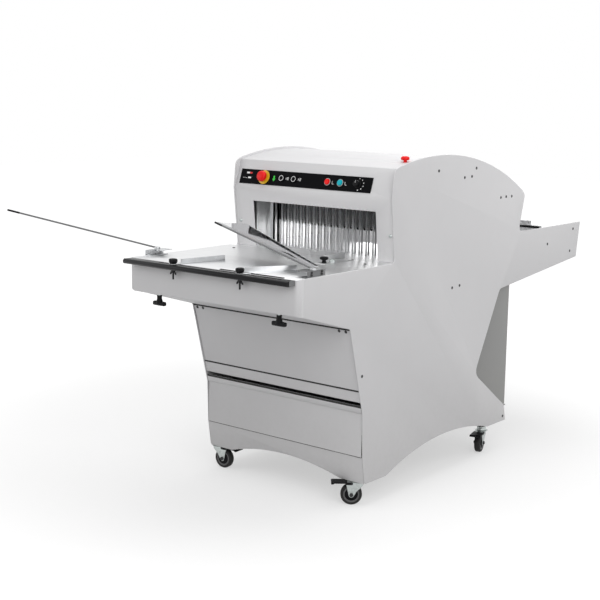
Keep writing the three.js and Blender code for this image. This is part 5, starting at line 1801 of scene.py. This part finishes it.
@dataclass
class Studio:
    """A pale floor, soft lamps and the camera."""

    lens: float = 74.27
    sensor: float = 36.0
    far_end: float = 60.0
    azimuth: float = 38.87
    elevation: float = 9.92
    roll: float = 0.84
    place: Triple = (2735.0, -3887.0, 1435.0)
    ambient: float = 0.54
    floor_reach: float = 14.0
    floor_grey: float = 0.5
    near: Pair = (0.9, 0.5)
    far: Pair = (2.8, 0.8)
    lamps: tuple[Lamp, ...] = (
        Lamp("key", (3.4, -2.2, 2.6), MIDDLE, 3.0, 54.0),
        Lamp("overhead", (0.4, 0.2, 3.6), MIDDLE, 3.2, 42.0),
        Lamp("fill", (-3.0, -3.4, 1.8), MIDDLE, 3.0, 26.0),
        Lamp("rear", (2.2, 3.3, 1.4), MIDDLE, 1.6, 12.0),
        Lamp("infeed", (0.27, 1.05, 1.7), PASSAGE, 0.7, 3.5),
        Lamp("passage", (0.27, 0.0, 0.965), PASSAGE, 0.3, 0.6),
    )

    def build_camera(self, datum: Datum) -> None:
        """Sets the camera: its right and up come from its azimuth and elevation, then turn by its roll.

        Args:
            datum: Where the body's frame lies.
        """
        az, el, roll = (math.radians(angle) for angle in (self.azimuth, self.elevation, self.roll))
        ahead = Vector((-math.sin(az) * math.cos(el), math.cos(az) * math.cos(el), -math.sin(el)))
        right = Vector((math.cos(az), math.sin(az), 0))
        up = right.cross(ahead)
        right_turned = right * math.cos(roll) + up * math.sin(roll)
        up_turned = up * math.cos(roll) - right * math.sin(roll)
        camera = bpy.data.cameras.new("camera")
        camera.lens = self.lens
        camera.sensor_width = self.sensor
        camera.clip_end = self.far_end
        holder = place_object("camera", camera)
        turn = Matrix((right_turned, up_turned, -ahead)).transposed().to_4x4()
        spot = datum.metres(np.array([self.place], float))[0]
        holder.matrix_world = Matrix.Translation(Vector(spot.tolist())) @ turn
        bpy.context.scene.camera = holder

    def build_world(self) -> None:
        """Makes the surroundings white to the camera and in reflections, and a plain soft light elsewhere."""
        world = bpy.data.worlds.new("studio")
        world.use_nodes = True
        bench = Bench(world.node_tree)
        back = world.node_tree.nodes["Background"]
        back.inputs["Color"].default_value = (1, 1, 1, 1)
        bench.feed(back.inputs["Strength"], bench.span(bench.seen(), self.ambient, 1.0))
        bpy.context.scene.world = world

    def build_floor(self) -> None:
        """Lays a wide pale floor that lifts itself to the camera, the more the farther it lies from the
        machine: the lift rises smoothly with the distance from the middle."""
        reach, grey = self.floor_reach, self.floor_grey
        mesh = bpy.data.meshes.new("floor")
        corners = [(-reach, -reach, 0.0), (reach, -reach, 0.0), (reach, reach, 0.0), (-reach, reach, 0.0)]
        mesh.from_pydata(corners, [], [(0, 1, 2, 3)])
        floor = place_object("floor", mesh)
        white = (1, 1, 1, 1)
        mix = Mix("floor_white", Base_Color=(grey, grey, grey, 1), Roughness=0.9, Specular_IOR_Level=0.0)
        mix.set(Emission_Color=white)
        away = mix.add("ShaderNodeVectorMath", operation="LENGTH", Vector=mix.place).outputs["Value"]
        lift = mix.add(
            "ShaderNodeMapRange", interpolation_type="SMOOTHSTEP", Value=away, From_Min=self.near[0],
            From_Max=self.far[0], To_Min=self.near[1], To_Max=self.far[1],
        )
        mix.set(Emission_Strength=mix.math("MULTIPLY", mix.seen(), lift.outputs[0]))
        mesh.materials.append(mix.material)

    def build(self, datum: Datum) -> None:
        """Sets up the studio.

        Args:
            datum: Where the body's frame lies.
        """
        bpy.context.scene.view_settings.view_transform = "Standard"
        self.build_camera(datum)
        for lamp in self.lamps:
            lamp.hang()
        self.build_world()
        self.build_floor()


def main() -> None:
    """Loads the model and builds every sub-assembly in order."""
    logging.basicConfig(level=logging.INFO, format="%(message)s", stream=sys.stdout)
    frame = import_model()
    datum = Datum.from_model()
    studio = Studio()
    studio.build(datum)
    shop = Workshop(datum, frame["nodes"])
    parts = (
        Casing(), Screws(), ControlPanel(), RoofStop(), BladeUnit(), Drive(), Paddles(), TableFurniture(),
        Casters(), Pusher(), RearFittings(),
    )
    for part in parts:
        LOG.info("building %s", type(part).__name__)
        part.build(shop)


if __name__ == "__main__":
    main()
